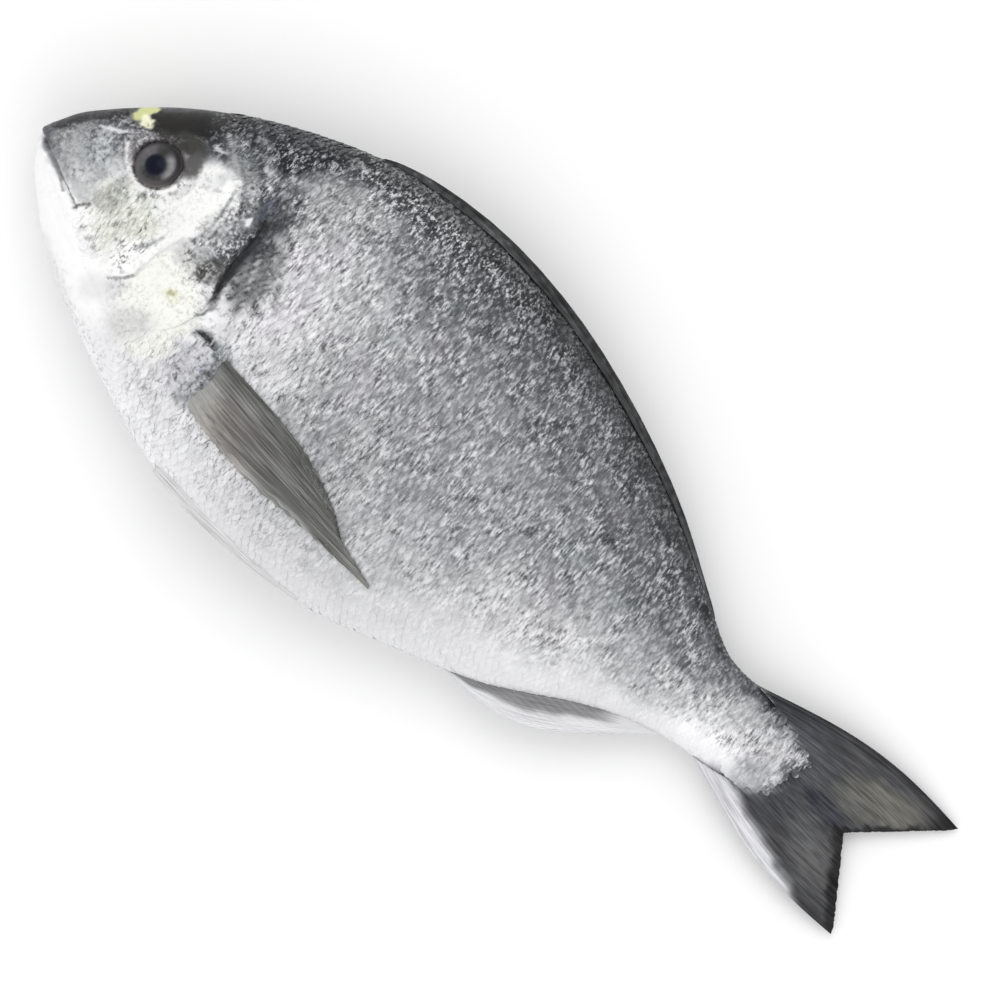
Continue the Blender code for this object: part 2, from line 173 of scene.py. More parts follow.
TAIL_PALE_EDGE = ((-24.0, 290.0), (-22.0, 285.0), (-20.0, 280.0), (-18.0, 274.5), (-16.0, 269.0),
                  (-14.0, 263.5), (-12.0, 257.5), (-10.5, 253.0), (-9.0, 247.0))

# how finely each piece is divided, along the fish and across or round it
SKIN_GRID = (280, 280)
PLATE_GRID = (66, 104)
EYE_GRID = (64, 80)
TAIL_GRID = (130, 180)
DORSAL_GRID = (240, 36)
ANAL_GRID = (220, 40)
PECTORAL_GRID = (170, 60)
PECTORAL_ROOT_GRID = (40, 48)
PELVIC_GRID = (90, 40)

# ---- colours, as levels from 0 to 255 in daylight ----
TAIL_ROOT_TONE = 80.0
TAIL_BY_SCALES = (158, 159, 163)
TAIL_MARGIN = (14, 14, 16)
TAIL_PALE = (228, 228, 231)
SCALES_BY_TAIL = (98, 99, 104)
TAIL_SPOTS = (  # centre, radii, turn in degrees, colour, strength, softness
    ((250.0, 15.0), (15.0, 4.0), 13, (64, 66, 70), 0.9, 0.8),
    ((256.0, 12.0), (7.0, 3.4), 10, (86, 87, 94), 0.8, 0.9),
    ((268.0, 9.0), (7.0, 5.0), 0, (84, 85, 90), 0.8, 0.9),
    ((284.0, 12.4), (12.5, 5.6), 15, (112, 111, 104), 0.92, 0.8),
    ((276.0, 8.0), (7.0, 3.0), 12, (100, 100, 98), 0.7, 0.9),
    ((278.0, -9.0), (12.0, 6.0), -24, (93, 93, 94), 0.85, 0.8),
    ((271.0, -4.6), (6.0, 3.0), -20, (92, 94, 95), 0.7, 0.9),
    ((262.5, -7.0), (4.4, 5.4), -20, (66, 67, 71), 0.8, 0.9),
    ((272.0, 2.0), (10.0, 2.7), -4, (60, 61, 71), 0.88, 0.8),
)

# ---- the setting ----
KEY_LIGHT = ((-0.35, 0.55, 1.15), 0.9, 3.0)  # place and size in metres, power in watts
FILL_LIGHT = ((0.7, -0.6, 0.9), 1.1, 1.5)
BACKDROP_STRENGTH = 0.95
FLOOR_REACH = 3.0  # metres each way
FLOOR_DROP = 0.0002  # metres under the fish
CAMERA_LENS = 300.0
CAMERA_SENSOR = 36.0
CAMERA_DISTANCE = 2.1865  # metres over CAMERA_LEVEL
CAMERA_LEVEL = 20.0
CAMERA_AIM = (154.44, 6.3)
CAMERA_ROLL = 41.47  # degrees: the fish lies slantwise in the view, its head up to the left

MM = 0.001


def world(points):
    """Fish coordinates in millimetres to the frame's metres."""
    middle = np.array([TOTAL_LENGTH / 2, (HIGHEST_POINT + LOWEST_POINT) / 2, 0.0])
    return (np.asarray(points) - middle) * MM + np.array([0.0, 0.0, CAD_LOW.z])


# ---- curves and fields ----
def smooth_curve(points):
    """The smooth function through (x, value) points."""
    xs, values = np.array(points, float).T
    slopes = np.gradient(values, xs)

    def value(x):
        x = np.asarray(x, float)
        i = np.clip(np.searchsorted(xs, x) - 1, 0, len(xs) - 2)
        span = xs[i + 1] - xs[i]
        u = np.clip((x - xs[i]) / span, 0.0, 1.0)
        rise = values[i] * (1 + 2 * u) * (1 - u) ** 2 + values[i + 1] * u * u * (3 - 2 * u)
        return rise + span * u * (1 - u) * (slopes[i] * (1 - u) - slopes[i + 1] * u)

    return value


def ease(u):
    """0 below 0, 1 above 1, and smooth between."""
    u = np.clip(u, 0.0, 1.0)
    return u * u * (3 - 2 * u)


def bump_at(distance, width):
    """1 on a line, falling away smoothly to 0 over `width`."""
    return np.exp(-(distance / width) ** 2)


def smooth_path(points, steps=40):
    """Points along a smooth line through a few (x, y) points."""
    lengths = np.concatenate([[0.0], np.cumsum(np.linalg.norm(np.diff(points, axis=0), axis=1))])
    at = np.linspace(0.0, lengths[-1], steps)
    return np.stack([smooth_curve(list(zip(lengths, column)))(at) for column in zip(*points)], axis=1)


def distance_to(x, y, points):
    """Distance from (x, y) to a smooth line, and the share of the line's length at the nearest place."""
    path = smooth_path(points)
    nearest = np.full(np.shape(x), 1e9)
    share = np.zeros(np.shape(x))
    for i, (start, end) in enumerate(zip(path[:-1], path[1:])):
        run = end - start
        u = np.clip(((x - start[0]) * run[0] + (y - start[1]) * run[1]) / (run @ run), 0.0, 1.0)
        gap = np.hypot(x - start[0] - u * run[0], y - start[1] - u * run[1])
        share = np.where(gap < nearest, (i + u) / (len(path) - 1), share)
        nearest = np.minimum(gap, nearest)
    return nearest, share


def cloud(x, y, size, seed):
    """Smooth random values from -1 to 1, with lumps of about `size`."""
    table = np.random.default_rng(seed).uniform(-1, 1, (64, 64))
    column, row = np.floor(x / size).astype(int), np.floor(y / size).astype(int)
    u, v = ease(x / size - column), ease(y / size - row)
    corner = [table[(column + i) % 64, (row + j) % 64] for i in (0, 1) for j in (0, 1)]
    return (corner[0] * (1 - u) + corner[2] * u) * (1 - v) + (corner[1] * (1 - u) + corner[3] * u) * v


def blend(first, second, share):
    """Moves a colour or a level some share of the way to a second one."""
    share = np.asarray(share)
    if np.ndim(first) > share.ndim:
        share = share[..., None]
    return first + (np.asarray(second, float) - first) * share


back, belly, ridge = smooth_curve(BACK), smooth_curve(BELLY), smooth_curve(RIDGE)
half_thickness, midplane = smooth_curve(HALF_THICKNESS), smooth_curve(MIDPLANE_HEIGHT)
side_line = smooth_curve(SIDE_LINE)
pectoral_top, pectoral_bottom = smooth_curve(PECTORAL_TOP), smooth_curve(PECTORAL_BOTTOM)
gill_edge = smooth_curve([(y, x) for x, y in reversed(GILL_SLIT)])
cheek_edge = smooth_curve([(y, x) for x, y in reversed(CHEEK_EDGE)])
scaled_front, scaled_tail = smooth_curve(SCALED_FRONT), smooth_curve(TAIL_SCALED_EDGE)
tail_pale = smooth_curve(TAIL_PALE_EDGE)


# ---- the body's surface ----
def round_off(from_end, length):
    """A quarter circle: 0 at an end, 1 from `length` on."""
    u = 1 - np.clip(from_end / length, 0.0, 1.0)
    return np.sqrt(1 - u * u)


def section(x):
    """Centre height y, reach up to the back, reach down to the belly and half thickness, at x."""
    outline = round_off(x, NOSE_ROUNDING) * round_off(BODY_LENGTH - x, BODY_LENGTH - STALK_END)
    width = round_off(x, NOSE_ROUNDING) * round_off(BODY_LENGTH - x, EDGE_ROUNDING)
    centre = ridge(x)
    return centre, (back(x) - centre) * outline, (centre - belly(x)) * outline, half_thickness(x) * width


def gill_cover_rise(x, y):
    """How far the whole gill cover bulges out of the flank."""
    ahead = gill_edge(y) - x
    along = ease(1 - ahead / GILL_COVER_LENGTH) * ease(1 + ahead / 5.0)
    return GILL_COVER_RISE * along * ease((25.0 - abs(y + 2.0)) / 12.0)


def pressed_height(x, y):
    """How far the lower flank keeps off the table because it lies on its pectoral fin."""
    ends = np.minimum(x - PECTORAL_TOP[0][0], PECTORAL_TOP[-1][0] - x)
    inside = np.minimum(ends, np.minimum(pectoral_top(x) - y, y - pectoral_bottom(x)))
    return PRESSED_DEPTH - PRESSED_SLOPE * np.maximum(-inside - PRESSED_MARGIN, 0.0)


def settle(x, y, reach, side):
    """Height of the skin that stands `reach` out from the midplane on one side."""
    height = midplane(x) + side * (reach + gill_cover_rise(x, y) * ease(reach / 6.0))
    lower = np.maximum(np.maximum(height, pressed_height(x, y)), 0.0)
    return np.where(side > 0, height, lower)


def skin_point(x, angle):
    """Points of the skin: angle 0 is the back, a quarter turn the upper flank, a half turn the belly."""
    centre, up, down, width = section(x)
    c, s = np.cos(angle), np.sin(angle)
    shape = np.where(c > 0, BACK_WEDGE, BELLY_ROUND)
    y = centre + np.where(c > 0, up, down) * np.sign(c) * np.abs(c) ** np.minimum(shape, 1.0)
    z = settle(x, y, width * np.abs(s) ** np.maximum(shape, 1.0), np.where(s < 0, -1.0, 1.0))
    return np.stack(np.broadcast_arrays(x, y, z), axis=-1)


def skin_normal(x, angle):
    """The way that the skin faces, at a place given as for skin_point."""
    step = 0.02
    ahead = np.minimum(x + step, BODY_LENGTH)
    behind = np.maximum(x - step, 0.0)
    along = skin_point(ahead, angle) - skin_point(behind, angle)
    around = skin_point(x, angle + step) - skin_point(x, angle - step)
    normal = np.cross(around, along)
    length = np.linalg.norm(normal, axis=-1, keepdims=True)
    tip = np.stack(np.broadcast_arrays(np.where(x < BODY_LENGTH / 2, -1.0, 1.0), 0 * x, 0 * x), axis=-1)
    return np.where(length > 1e-9, normal / np.maximum(length, 1e-12), tip)


def flank_height(x, y, side):
    """Height of the skin over a place in the side view."""
    centre, up, down, width = section(x)
    reach = np.where(y > centre, up, down)
    shape = np.where(y > centre, BACK_WEDGE, BELLY_ROUND)
    c = np.minimum(np.abs(y - centre) / np.maximum(reach, 1e-6), 1.0) ** (1 / np.minimum(shape, 1.0))
    return settle(x, y, width * np.sqrt(1 - c * c) ** np.maximum(shape, 1.0), side)


def flank_normal(x, y, side):
    """The way that the skin faces, over a place in the side view."""
    step = 0.3
    slope_x = (flank_height(x + step, y, side) - flank_height(x - step, y, side)) / (2 * step)
    slope_y = (flank_height(x, y + step, side) - flank_height(x, y - step, side)) / (2 * step)
    normal = np.stack([-slope_x, -slope_y, np.ones_like(slope_x)], axis=-1) * side
    return normal / np.linalg.norm(normal, axis=-1, keepdims=True)


# ---- the head's bones: how far each stands off the skin ----
def gill_plate_lift(x, y):
    """The gill plate dips into the skin in front and at its ends, and stands proud at its rear edge."""
    ahead = gill_edge(y) - x
    ends = ease((26.5 - y) / 9.0) * ease((y + 28.0) / 17.0)
    return -0.5 + (0.95 * ease(1 - ahead / 15.0) + 0.45) * ends


def cheek_plate_lift(x, y):
    """The cheek plate does the same, but lower."""
    ahead = cheek_edge(y) - x
    ends = ease((12.5 - y) / 7.0) * ease((y + 20.6) / 5.0)
    return -0.6 + (0.5 * ease(1 - ahead / 9.0) + 0.25) * ends


def head_lift(x, y):
    """The height that scales on the head stand on."""
    on_gill = np.where(x < gill_edge(y), gill_plate_lift(x, y), -1.0)
    on_cheek = np.where(x < cheek_edge(y), cheek_plate_lift(x, y), -1.0)
    return np.maximum(np.maximum(on_gill, on_cheek), -SKIN_SINK)


def head_relief(x, y):
    """Hollows and folds of the bare head: the mouth, the lips, the nostrils and the eye socket."""
    gap = distance_to(x, y, MOUTH_LINE)[0]
    line_y = smooth_curve([(px, py) for px, py in reversed(MOUTH_LINE)])(x)
    above = np.where(y > line_y, gap, -gap)
    front = ease((23.5 - x) / 3.0)
    relief = -0.7 * bump_at(gap, 0.4) * front
    relief += 0.45 * bump_at(above - 1.6, 1.0) * front
    relief += 0.55 * bump_at(above + 1.7, 1.0) * front
    relief += 0.35 * ease((5.4 - above) / 1.2) * ease(above / 1.0) * ease((23.0 - x) / 1.0)
    jaw_gap, jaw_share = distance_to(x, y, JAW_BONE)
    relief -= 0.45 * bump_at(jaw_gap, 0.5) * ease(jaw_share * 6) * ease((1 - jaw_share) * 6)
    for centre, radii, depth in NOSTRILS:
        relief -= depth * bump_at(np.hypot((x - centre[0]) / radii[0], (y - centre[1]) / radii[1]), 1.0)
    r = np.hypot(x - EYE_CENTRE[0], y - EYE_CENTRE[1])
    relief += 0.55 * bump_at(r - 7.2, 0.9) - 3.4 * ease((6.9 - r) / 1.6)
    for line, depth, width in SKIN_FOLDS:
        fold_gap, fold_share = distance_to(x, y, line)
        relief -= depth * bump_at(fold_gap, width) * ease(fold_share * 5) * ease((1 - fold_share) * 5)
    return relief + 0.07 * cloud(x, y, 2.3, 3) + 0.12 * cloud(x, y, 6.0, 4)


# ---- the markings, with painted shade and glints among them ----
# the flank's tones from the belly's edge (0) to the back's (1)
FRONT_TONE = smooth_curve(((0, 240), (0.08, 230), (0.2, 215), (0.3, 218), (0.38, 220), (0.46, 218),
                           (0.56, 204), (0.63, 202), (0.7, 186), (0.78, 164), (0.86, 130), (0.92, 78),
                           (1, 40)))
MIDDLE_TONE = smooth_curve(((0, 222), (0.08, 208), (0.2, 184), (0.3, 166), (0.4, 160), (0.5, 158),
                            (0.6, 156), (0.7, 136), (0.8, 108), (0.9, 82), (0.96, 52), (1, 40)))
REAR_TONE = smooth_curve(((0, 224), (0.2, 214), (0.31, 198), (0.44, 162), (0.56, 142), (0.7, 112),
                          (0.82, 98), (0.91, 74), (0.96, 48), (1, 40)))
STALK_TONE = smooth_curve(((0, 232), (0.25, 236), (0.5, 200), (0.75, 160), (0.9, 110), (1, 60)))
TONE_CHANGES = (  # where each stretch's tones begin to take over, the length that takes, and the tones
    (76.0, 38.0, MIDDLE_TONE),
    (140.0, 50.0, REAR_TONE),
    (215.0, 20.0, STALK_TONE),
)
DARK_TINT = (0.97, 0.998, 1.042)
LIGHT_TINT = (1.0, 1.0, 1.008)
HUE_DRIFT = (-1.6, 1.8, -1.6)  # the flank's faint drift between green and purple
SPOTS = (  # centre, radii, turn in degrees, colour, strength, softness
    ((44.6, 9.0), (8.0, 16.0), 4, (238, 238, 237), 0.97, 0.3),  # white behind the eye
    ((36.0, 3.0), (9.0, 6.0), 30, (232, 233, 230), 0.85, 0.6),
    ((30.0, -4.0), (11.0, 9.0), 20, (214, 216, 208), 0.92, 0.6),  # cheek
    ((26.6, -2.0), (3.6, 3.2), 0, (172, 173, 164), 0.7, 0.9),
    ((35.5, -2.5), (5.6, 3.4), 20, (210, 212, 198), 0.6, 0.9),
    ((30.0, -11.0), (8.0, 4.4), -30, (222, 223, 214), 0.8, 0.6),
    ((54.0, -15.0), (10.6, 14.0), 12, (238, 239, 232), 0.95, 0.4),  # pale gill cover
    ((39.0, -12.5), (4.2, 9.0), -24, (247, 247, 246), 0.9, 0.6),  # cheek bone's white flange
    ((22.0, -17.0), (26.0, 8.0), -28, (246, 246, 246), 0.95, 0.4),  # white lower jaw and throat
    ((38.6, -22.0), (4.4, 3.4), 40, (221, 221, 222), 0.7, 1.2),  # soft shade in the throat's folds
    ((43.2, -18.4), (2.6, 1.8), 40, (204, 204, 205), 0.7, 1.0),
    ((51.5, -23.5), (6.0, 4.2), 38, (200, 200, 200), 0.75, 1.0),
    ((28.0, -27.5), (14.0, 2.6), -27, (224, 224, 226), 0.7, 0.9),
    ((12.0, 3.4), (9.6, 9.4), -42, (166, 168, 169), 0.95, 0.35),  # bare skin ahead of the eye
    ((15.4, 5.6), (4.4, 4.4), 0, (150, 155, 158), 0.75, 0.9),
    ((9.0, 9.4), (6.4, 2.2), 48, (118, 119, 121), 0.85, 0.8),
    ((18.0, 10.8), (2.4, 2.2), 0, (112, 112, 115), 0.8, 0.9),
    ((5.6, -1.2), (2.8, 1.3), -35, (110, 110, 114), 0.85, 0.8),
    ((8.0, 6.0), (2.6, 4.6), -36, (146, 148, 150), 0.7, 0.9),
    ((5.0, 2.4), (2.4, 3.4), -38, (120, 121, 122), 0.7, 0.9),
    ((11.5, -2.8), (6.5, 1.3), -24, (142, 143, 144), 0.7, 0.8),
    ((26.2, 1.2), (2.2, 4.4), 10, (158, 159, 155), 0.7, 0.9),
    ((21.0, 12.6), (3.8, 5.0), 0, (122, 120, 123), 0.88, 0.7),
    ((21.4, 5.4), (3.0, 2.6), 0, (196, 198, 199), 0.7, 0.9),
    ((14.4, 15.2), (6.4, 2.6), 40, (94, 95, 100), 0.88, 0.6),  # dusky top of the snout
    ((17.4, -3.6), (7.4, 3.2), -24, (182, 183, 184), 0.75, 0.8),
    ((47.6, 37.6), (20.0, 9.6), 33, (36, 40, 44), 0.95, 0.4),  # nape
    ((76.0, 39.6), (12.0, 5.0), 16, (176, 177, 178), 0.6, 0.9),
    ((152.0, 29.6), (18.0, 6.0), -8, (92, 94, 97), 0.45, 0.9),  # darker cloud along the side line
    ((203.0, 14.0), (19.0, 6.0), -16, (88, 90, 93), 0.45, 0.9),
    ((131.0, 17.0), (13.0, 8.0), 0, (124, 126, 129), 0.45, 0.9),
    ((138.0, 8.0), (30.0, 17.0), -4, (128, 130, 133), 0.34, 1.0),
    ((206.0, -3.5), (15.0, 5.5), -10, (160, 161, 164), 0.6, 0.9),
    ((229.0, 11.0), (6.0, 3.4), -10, (100, 103, 106), 0.6, 0.9),
    ((242.0, 13.0), (7.0, 1.8), 4, (78, 80, 86), 0.7, 0.9),
    ((45.5, 28.6), (8.0, 2.8), -20, (132, 136, 136), 0.75, 0.9),
    ((51.0, 31.0), (4.0, 2.4), -20, (140, 143, 145), 0.6, 0.9),
    ((58.6, 28.6), (4.2, 4.4), 0, (104, 106, 110), 0.85, 0.8),
    ((56.4, 7.4), (5.0, 10.6), -8, (172, 173, 174), 0.88, 0.5),  # dark upper gill cover
    ((50.4, 8.6), (1.6, 6.0), 0, (190, 190, 191), 0.6, 0.9),
    ((50.8, 0.4), (3.4, 3.4), 0, (182, 182, 182), 0.7, 0.9),
    ((56.0, 9.6), (2.2, 5.0), -6, (112, 112, 115), 0.6, 0.9),
    ((57.8, 15.0), (3.2, 4.4), -6, (118, 118, 122), 0.8, 0.8),
    ((59.0, 7.0), (2.2, 10.0), -6, (88, 89, 94), 0.9, 0.7),
    ((57.6, 0.4), (2.8, 3.4), -10, (84, 84, 80), 0.8, 0.8),
    ((68.0, 9.0), (5.0, 11.0), 8, (98, 99, 100), 0.88, 0.8),  # dusky skin behind it
    ((61.0, 22.8), (5.4, 5.6), -10, (66, 72, 82), 0.95, 0.45),  # blotch over the gill slit
    ((63.5, 14.5), (3.4, 5.0), 0, (58, 60, 64), 0.9, 0.7),
    ((64.5, 24.6), (4.0, 7.0), 10, (66, 66, 70), 0.88, 0.8),
    ((73.5, 26.0), (5.0, 4.0), 0, (146, 146, 148), 0.6, 0.9),
    ((60.0, 2.2), (2.4, 3.8), 0, (84, 84, 84), 0.85, 0.8),
    ((55.6, 20.4), (2.8, 3.4), 0, (108, 109, 110), 0.8, 0.8),
    ((46.0, 21.6), (2.8, 2.0), 10, (184, 185, 185), 0.6, 0.9),
    ((45.4, 26.4), (2.8, 1.6), -10, (170, 171, 171), 0.75, 0.8),
    ((75.6, -15.6), (2.4, 2.0), 0, (90, 92, 95), 0.85, 0.8),
    ((68.6, 19.6), (2.8, 4.4), 0, (150, 151, 152), 0.8, 0.8),
    ((27.0, 25.2), (9.4, 3.6), 42, (24, 23, 21), 0.98, 0.22),  # black cap
    ((23.5, 23.2), (4.4, 2.2), 8, (24, 23, 20), 0.98, 0.25),
    ((31.0, 28.2), (4.4, 3.6), 30, (20, 20, 20), 0.96, 0.3),
    ((32.4, 22.6), (5.4, 3.0), 6, (52, 52, 50), 0.96, 0.5),
    ((27.6, 20.4), (5.0, 2.0), 14, (46, 45, 45), 0.95, 0.5),
    ((36.6, 19.0), (2.2, 4.2), 12, (78, 77, 77), 0.93, 0.8),
    ((36.0, 33.4), (5.0, 3.4), 40, (34, 34, 36), 0.92, 0.6),
    ((29.9, 13.1), (7.0, 7.0), 0, (74, 71, 71), 0.9, 0.25),  # socket
    ((17.4, 21.6), (1.8, 3.8), -14, (208, 211, 150), 0.97, 0.35),  # gold bar between the eyes
    ((19.8, 19.8), (1.9, 1.5), 10, (243, 243, 214), 0.95, 0.5),
    ((55.4, -9.8), (1.2, 0.9), 20, (146, 138, 100), 0.9, 0.8),
    ((55.4, -10.2), (2.6, 2.0), 20, (226, 224, 196), 0.5, 0.9),
    ((32.4, 4.4), (0.9, 1.2), 0, (128, 128, 132), 0.85, 0.6),
    ((37.6, 9.4), (0.8, 1.2), -30, (150, 150, 150), 0.8, 0.7),
    ((43.8, 18.0), (3.4, 2.4), 20, (214, 215, 215), 0.6, 0.9),
    ((39.4, 13.0), (1.2, 4.0), -6, (196, 196, 197), 0.6, 0.9),
    ((41.5, -5.0), (0.9, 2.4), -32, (158, 159, 160), 0.8, 0.8),
    ((40.0, -7.6), (0.9, 0.8), 0, (132, 133, 134), 0.85, 0.8),
    ((29.0, -13.2), (0.8, 1.0), 0, (150, 150, 148), 0.8, 0.8),
    ((30.8, -14.6), (0.8, 1.0), 0, (164, 164, 168), 0.8, 0.8),
    ((25.0, -12.2), (1.0, 0.7), 0, (160, 161, 150), 0.8, 0.8),
    ((72.6, -21.4), (5.4, 8.0), 0, (182, 182, 187), 0.88, 0.6),  # fleshy root of the pectoral fin
    ((74.2, -13.6), (1.6, 2.4), 0, (124, 132, 138), 0.85, 0.7),
    ((75.6, -19.4), (2.8, 2.0), 0, (172, 172, 188), 0.7, 0.8),
    ((74.4, -26.6), (2.6, 3.6), 0, (140, 141, 144), 0.8, 0.8),
    ((77.4, -21.0), (3.4, 8.4), 0, (128, 129, 133), 0.9, 0.7),
    ((66.0, -9.0), (3.0, 2.0), 0, (240, 240, 240), 0.85, 0.7),
    ((48.4, 21.0), (2.2, 3.2), 0, (242, 242, 241), 0.85, 0.6),
    ((51.8, 18.4), (2.2, 1.7), 0, (234, 234, 234), 0.8, 0.7),
    ((40.2, 29.4), (1.3, 0.6), -30, (196, 198, 198), 0.8, 0.6),
    ((66.4, -18.0), (3.4, 2.0), 10, (212, 212, 216), 0.7, 0.9),
    ((252.6, -5.4), (5.6, 6.6), 0, (158, 159, 164), 0.85, 0.8),  # the stalk's dusky lower end
    ((247.4, -10.0), (5.0, 1.8), -14, (186, 186, 188), 0.6, 0.9),
    ((248.6, 6.4), (2.0, 2.0), 0, (218, 219, 222), 0.6, 0.9),
    # bright scales on the nape: painted glints of the light that they reflect
    ((39.2, 26.9), (2.6, 0.6), 2, (224, 224, 222), 0.8, 0.7),  # bright scales on the nape
    ((51.0, 33.2), (0.9, 1.3), -20, (216, 219, 222), 0.8, 0.8),
    ((53.2, 30.6), (1.1, 1.0), -20, (216, 218, 218), 0.8, 0.8),
    ((55.4, 27.4), (1.1, 1.2), -20, (226, 226, 225), 0.8, 0.8),
    ((48.6, 35.4), (1.2, 0.7), -20, (176, 182, 188), 0.8, 0.6),
    ((37.2, 34.0), (0.8, 0.7), 0, (150, 150, 152), 0.8, 0.6),
    ((38.6, 30.4), (1.3, 0.5), -35, (160, 160, 160), 0.8, 0.6),
    ((57.7, 17.0), (0.7, 1.7), -6, (224, 226, 228), 0.9, 0.5),
    ((62.8, 25.6), (0.6, 0.4), 0, (190, 190, 194), 0.8, 0.6),
    ((68.0, 16.6), (1.0, 2.4), 30, (196, 196, 198), 0.7, 0.8),
)
STROKES = (  # line, start and end width, colour, strength
    (((1.9, 3.2), (5.0, 8.0), (9.2, 13.2), (13.2, 18.0)), (1.7, 1.5), (34, 34, 37), 0.97),
    (((1.6, 0.4), (2.6, -1.0), (4.4, -2.4)), (1.6, 1.0), (76, 76, 84), 0.96),
    (((4.0, -2.8), (8.0, -4.2), (11.6, -6.0)), (1.1, 0.7), (126, 126, 130), 0.8),
    (((5.0, 0.6), (6.6, -0.6), (8.0, -2.4)), (0.4, 0.3), (120, 120, 124), 0.7),
    (((11.6, -6.2), (13.4, -7.4), (15.4, -8.6)), (0.6, 0.3), (140, 140, 142), 0.8),
    (((14.0, -6.9), (16.6, -8.0), (19.0, -9.4)), (0.7, 0.5), (243, 243, 243), 0.9),
    (((11.6, -5.8), (15.0, -7.0), (18.6, -8.8), (20.8, -9.8)), (0.3, 0.35), (104, 103, 105), 0.85),
    (((20.4, -10.2), (21.6, -8.4), (24.0, -5.0)), (0.45, 0.3), (84, 83, 83), 0.85),
    (((13.8, 15.8), (16.6, 16.7), (20.2, 17.1)), (0.4, 0.35), (40, 38, 38), 0.92),
    # painted highlights on the snout
    (((11.2, 10.4), (13.8, 11.7), (17.8, 14.0)), (0.45, 0.45), (214, 215, 217), 0.8),
    (((19.6, 12.0), (22.0, 9.0), (25.4, 6.6), (30.0, 5.4), (34.0, 7.0), (37.0, 10.4)), (0.5, 0.5),
     (238, 238, 238), 0.85),
    (((24.6, 8.2), (27.0, 6.9), (30.0, 6.4), (33.4, 7.6)), (0.3, 0.3), (66, 66, 66), 0.7),
    (((47.6, 2.2), (46.2, -1.6), (45.2, -6.0), (44.4, -12.6)), (0.42, 0.32), (196, 196, 196), 0.6),
    (((44.2, -13.2), (42.4, -15.6), (39.4, -18.0)), (0.45, 0.25), (128, 128, 130), 0.8),
    (((43.6, -0.6), (42.2, -4.0), (40.2, -7.4)), (0.5, 0.4), (166, 166, 168), 0.7),
    # painted shadow in the closed gill slit, in this line and the next two
    (((61.6, 20.0), (62.2, 12.0), (63.0, 5.0), (63.4, 0.0), (64.6, -4.6)), (1.3, 0.85), (33, 34, 37), 0.98),
    (((61.4, 8.0), (61.8, 3.0), (63.0, -1.6)), (0.7, 0.5), (38, 38, 38), 0.9),
    (((65.2, -4.8), (65.0, -7.4), (63.4, -9.8)), (0.55, 0.25), (84, 84, 86), 0.9),
    (((60.0, -5.0), (62.0, -4.8), (64.0, -5.4)), (0.3, 0.4), (150, 150, 150), 0.7),
    (((66.4, 3.0), (67.0, 0.0), (67.6, -1.8)), (0.45, 0.3), (74, 74, 76), 0.88),
    (((68.8, 6.0), (70.0, 1.0), (70.4, -3.2)), (0.75, 0.5), (66, 66, 66), 0.88),
    (((70.6, 9.8), (72.0, 7.0), (73.4, 3.4), (74.4, -0.4)), (0.5, 0.4), (84, 85, 86), 0.88),
    (((73.0, 8.2), (74.0, 7.0)), (0.5, 0.5), (88, 88, 90), 0.8),
    (((49.6, 21.0), (50.6, 16.0), (51.2, 10.0), (50.4, 4.0)), (0.5, 0.4), (140, 141, 142), 0.75),
    (((64.4, 14.0), (67.0, 8.0), (69.6, 1.4)), (0.6, 0.35), (44, 45, 48), 0.9),
    (((66.8, 17.6), (70.6, 11.0), (75.4, 0.4)), (0.6, 0.35), (52, 53, 56), 0.9),
    (((69.4, 20.0), (73.4, 12.4), (77.0, 5.0)), (0.5, 0.35), (80, 81, 84), 0.85),
    (((65.8, 12.0), (68.4, 5.6), (70.6, 0.0)), (0.35, 0.3), (206, 206, 208), 0.8),
    (((69.0, 14.6), (72.2, 8.0), (74.0, 3.6)), (0.35, 0.3), (196, 197, 199), 0.8),
    (((52.4, 17.0), (53.0, 10.0), (52.8, 5.0)), (0.4, 0.3), (92, 93, 96), 0.75),
    (((45.0, 28.0), (50.0, 24.0), (54.0, 18.0)), (0.7, 0.5), (86, 88, 92), 0.6),
    (((40.5, 36.5), (44.0, 32.0), (47.0, 28.0)), (0.3, 0.25), (166, 172, 172), 0.6),
    (((43.6, 38.0), (47.0, 33.6), (50.0, 29.6)), (0.3, 0.25), (160, 166, 166), 0.55),
    (((49.0, 31.5), (54.0, 27.0), (58.5, 21.0)), (0.7, 0.6), (58, 62, 66), 0.8),
    (((66.4, -12.9), (69.0, -12.7), (73.0, -13.2)), (0.7, 0.75), (16, 16, 18), 0.98),
    (((69.0, -11.6), (71.4, -12.0)), (0.5, 0.5), (60, 60, 62), 0.85),
    (((73.0, -13.2), (75.4, -13.3), (78.2, -13.8)), (0.7, 0.9), (96, 101, 105), 0.85),
    (((74.6, -15.0), (76.0, -17.6), (76.6, -21.0)), (0.8, 0.8), (104, 105, 110), 0.7),
    (((76.0, -11.8), (79.6, -10.2)), (0.3, 0.2), (140, 142, 142), 0.8),
)


def linear(colour):
    """Daylight colour (0 to 255) to the shader's linear values."""
    c = np.asarray(colour, float) / 255
    return np.where(c <= 0.04045, c / 12.92, ((c + 0.055) / 1.055) ** 2.4)


def grey(value, tint=(1.0, 1.0, 1.0)):
    """A grey level as a colour, each channel scaled by the tint."""
    return np.asarray(value)[..., None] * np.array(tint)


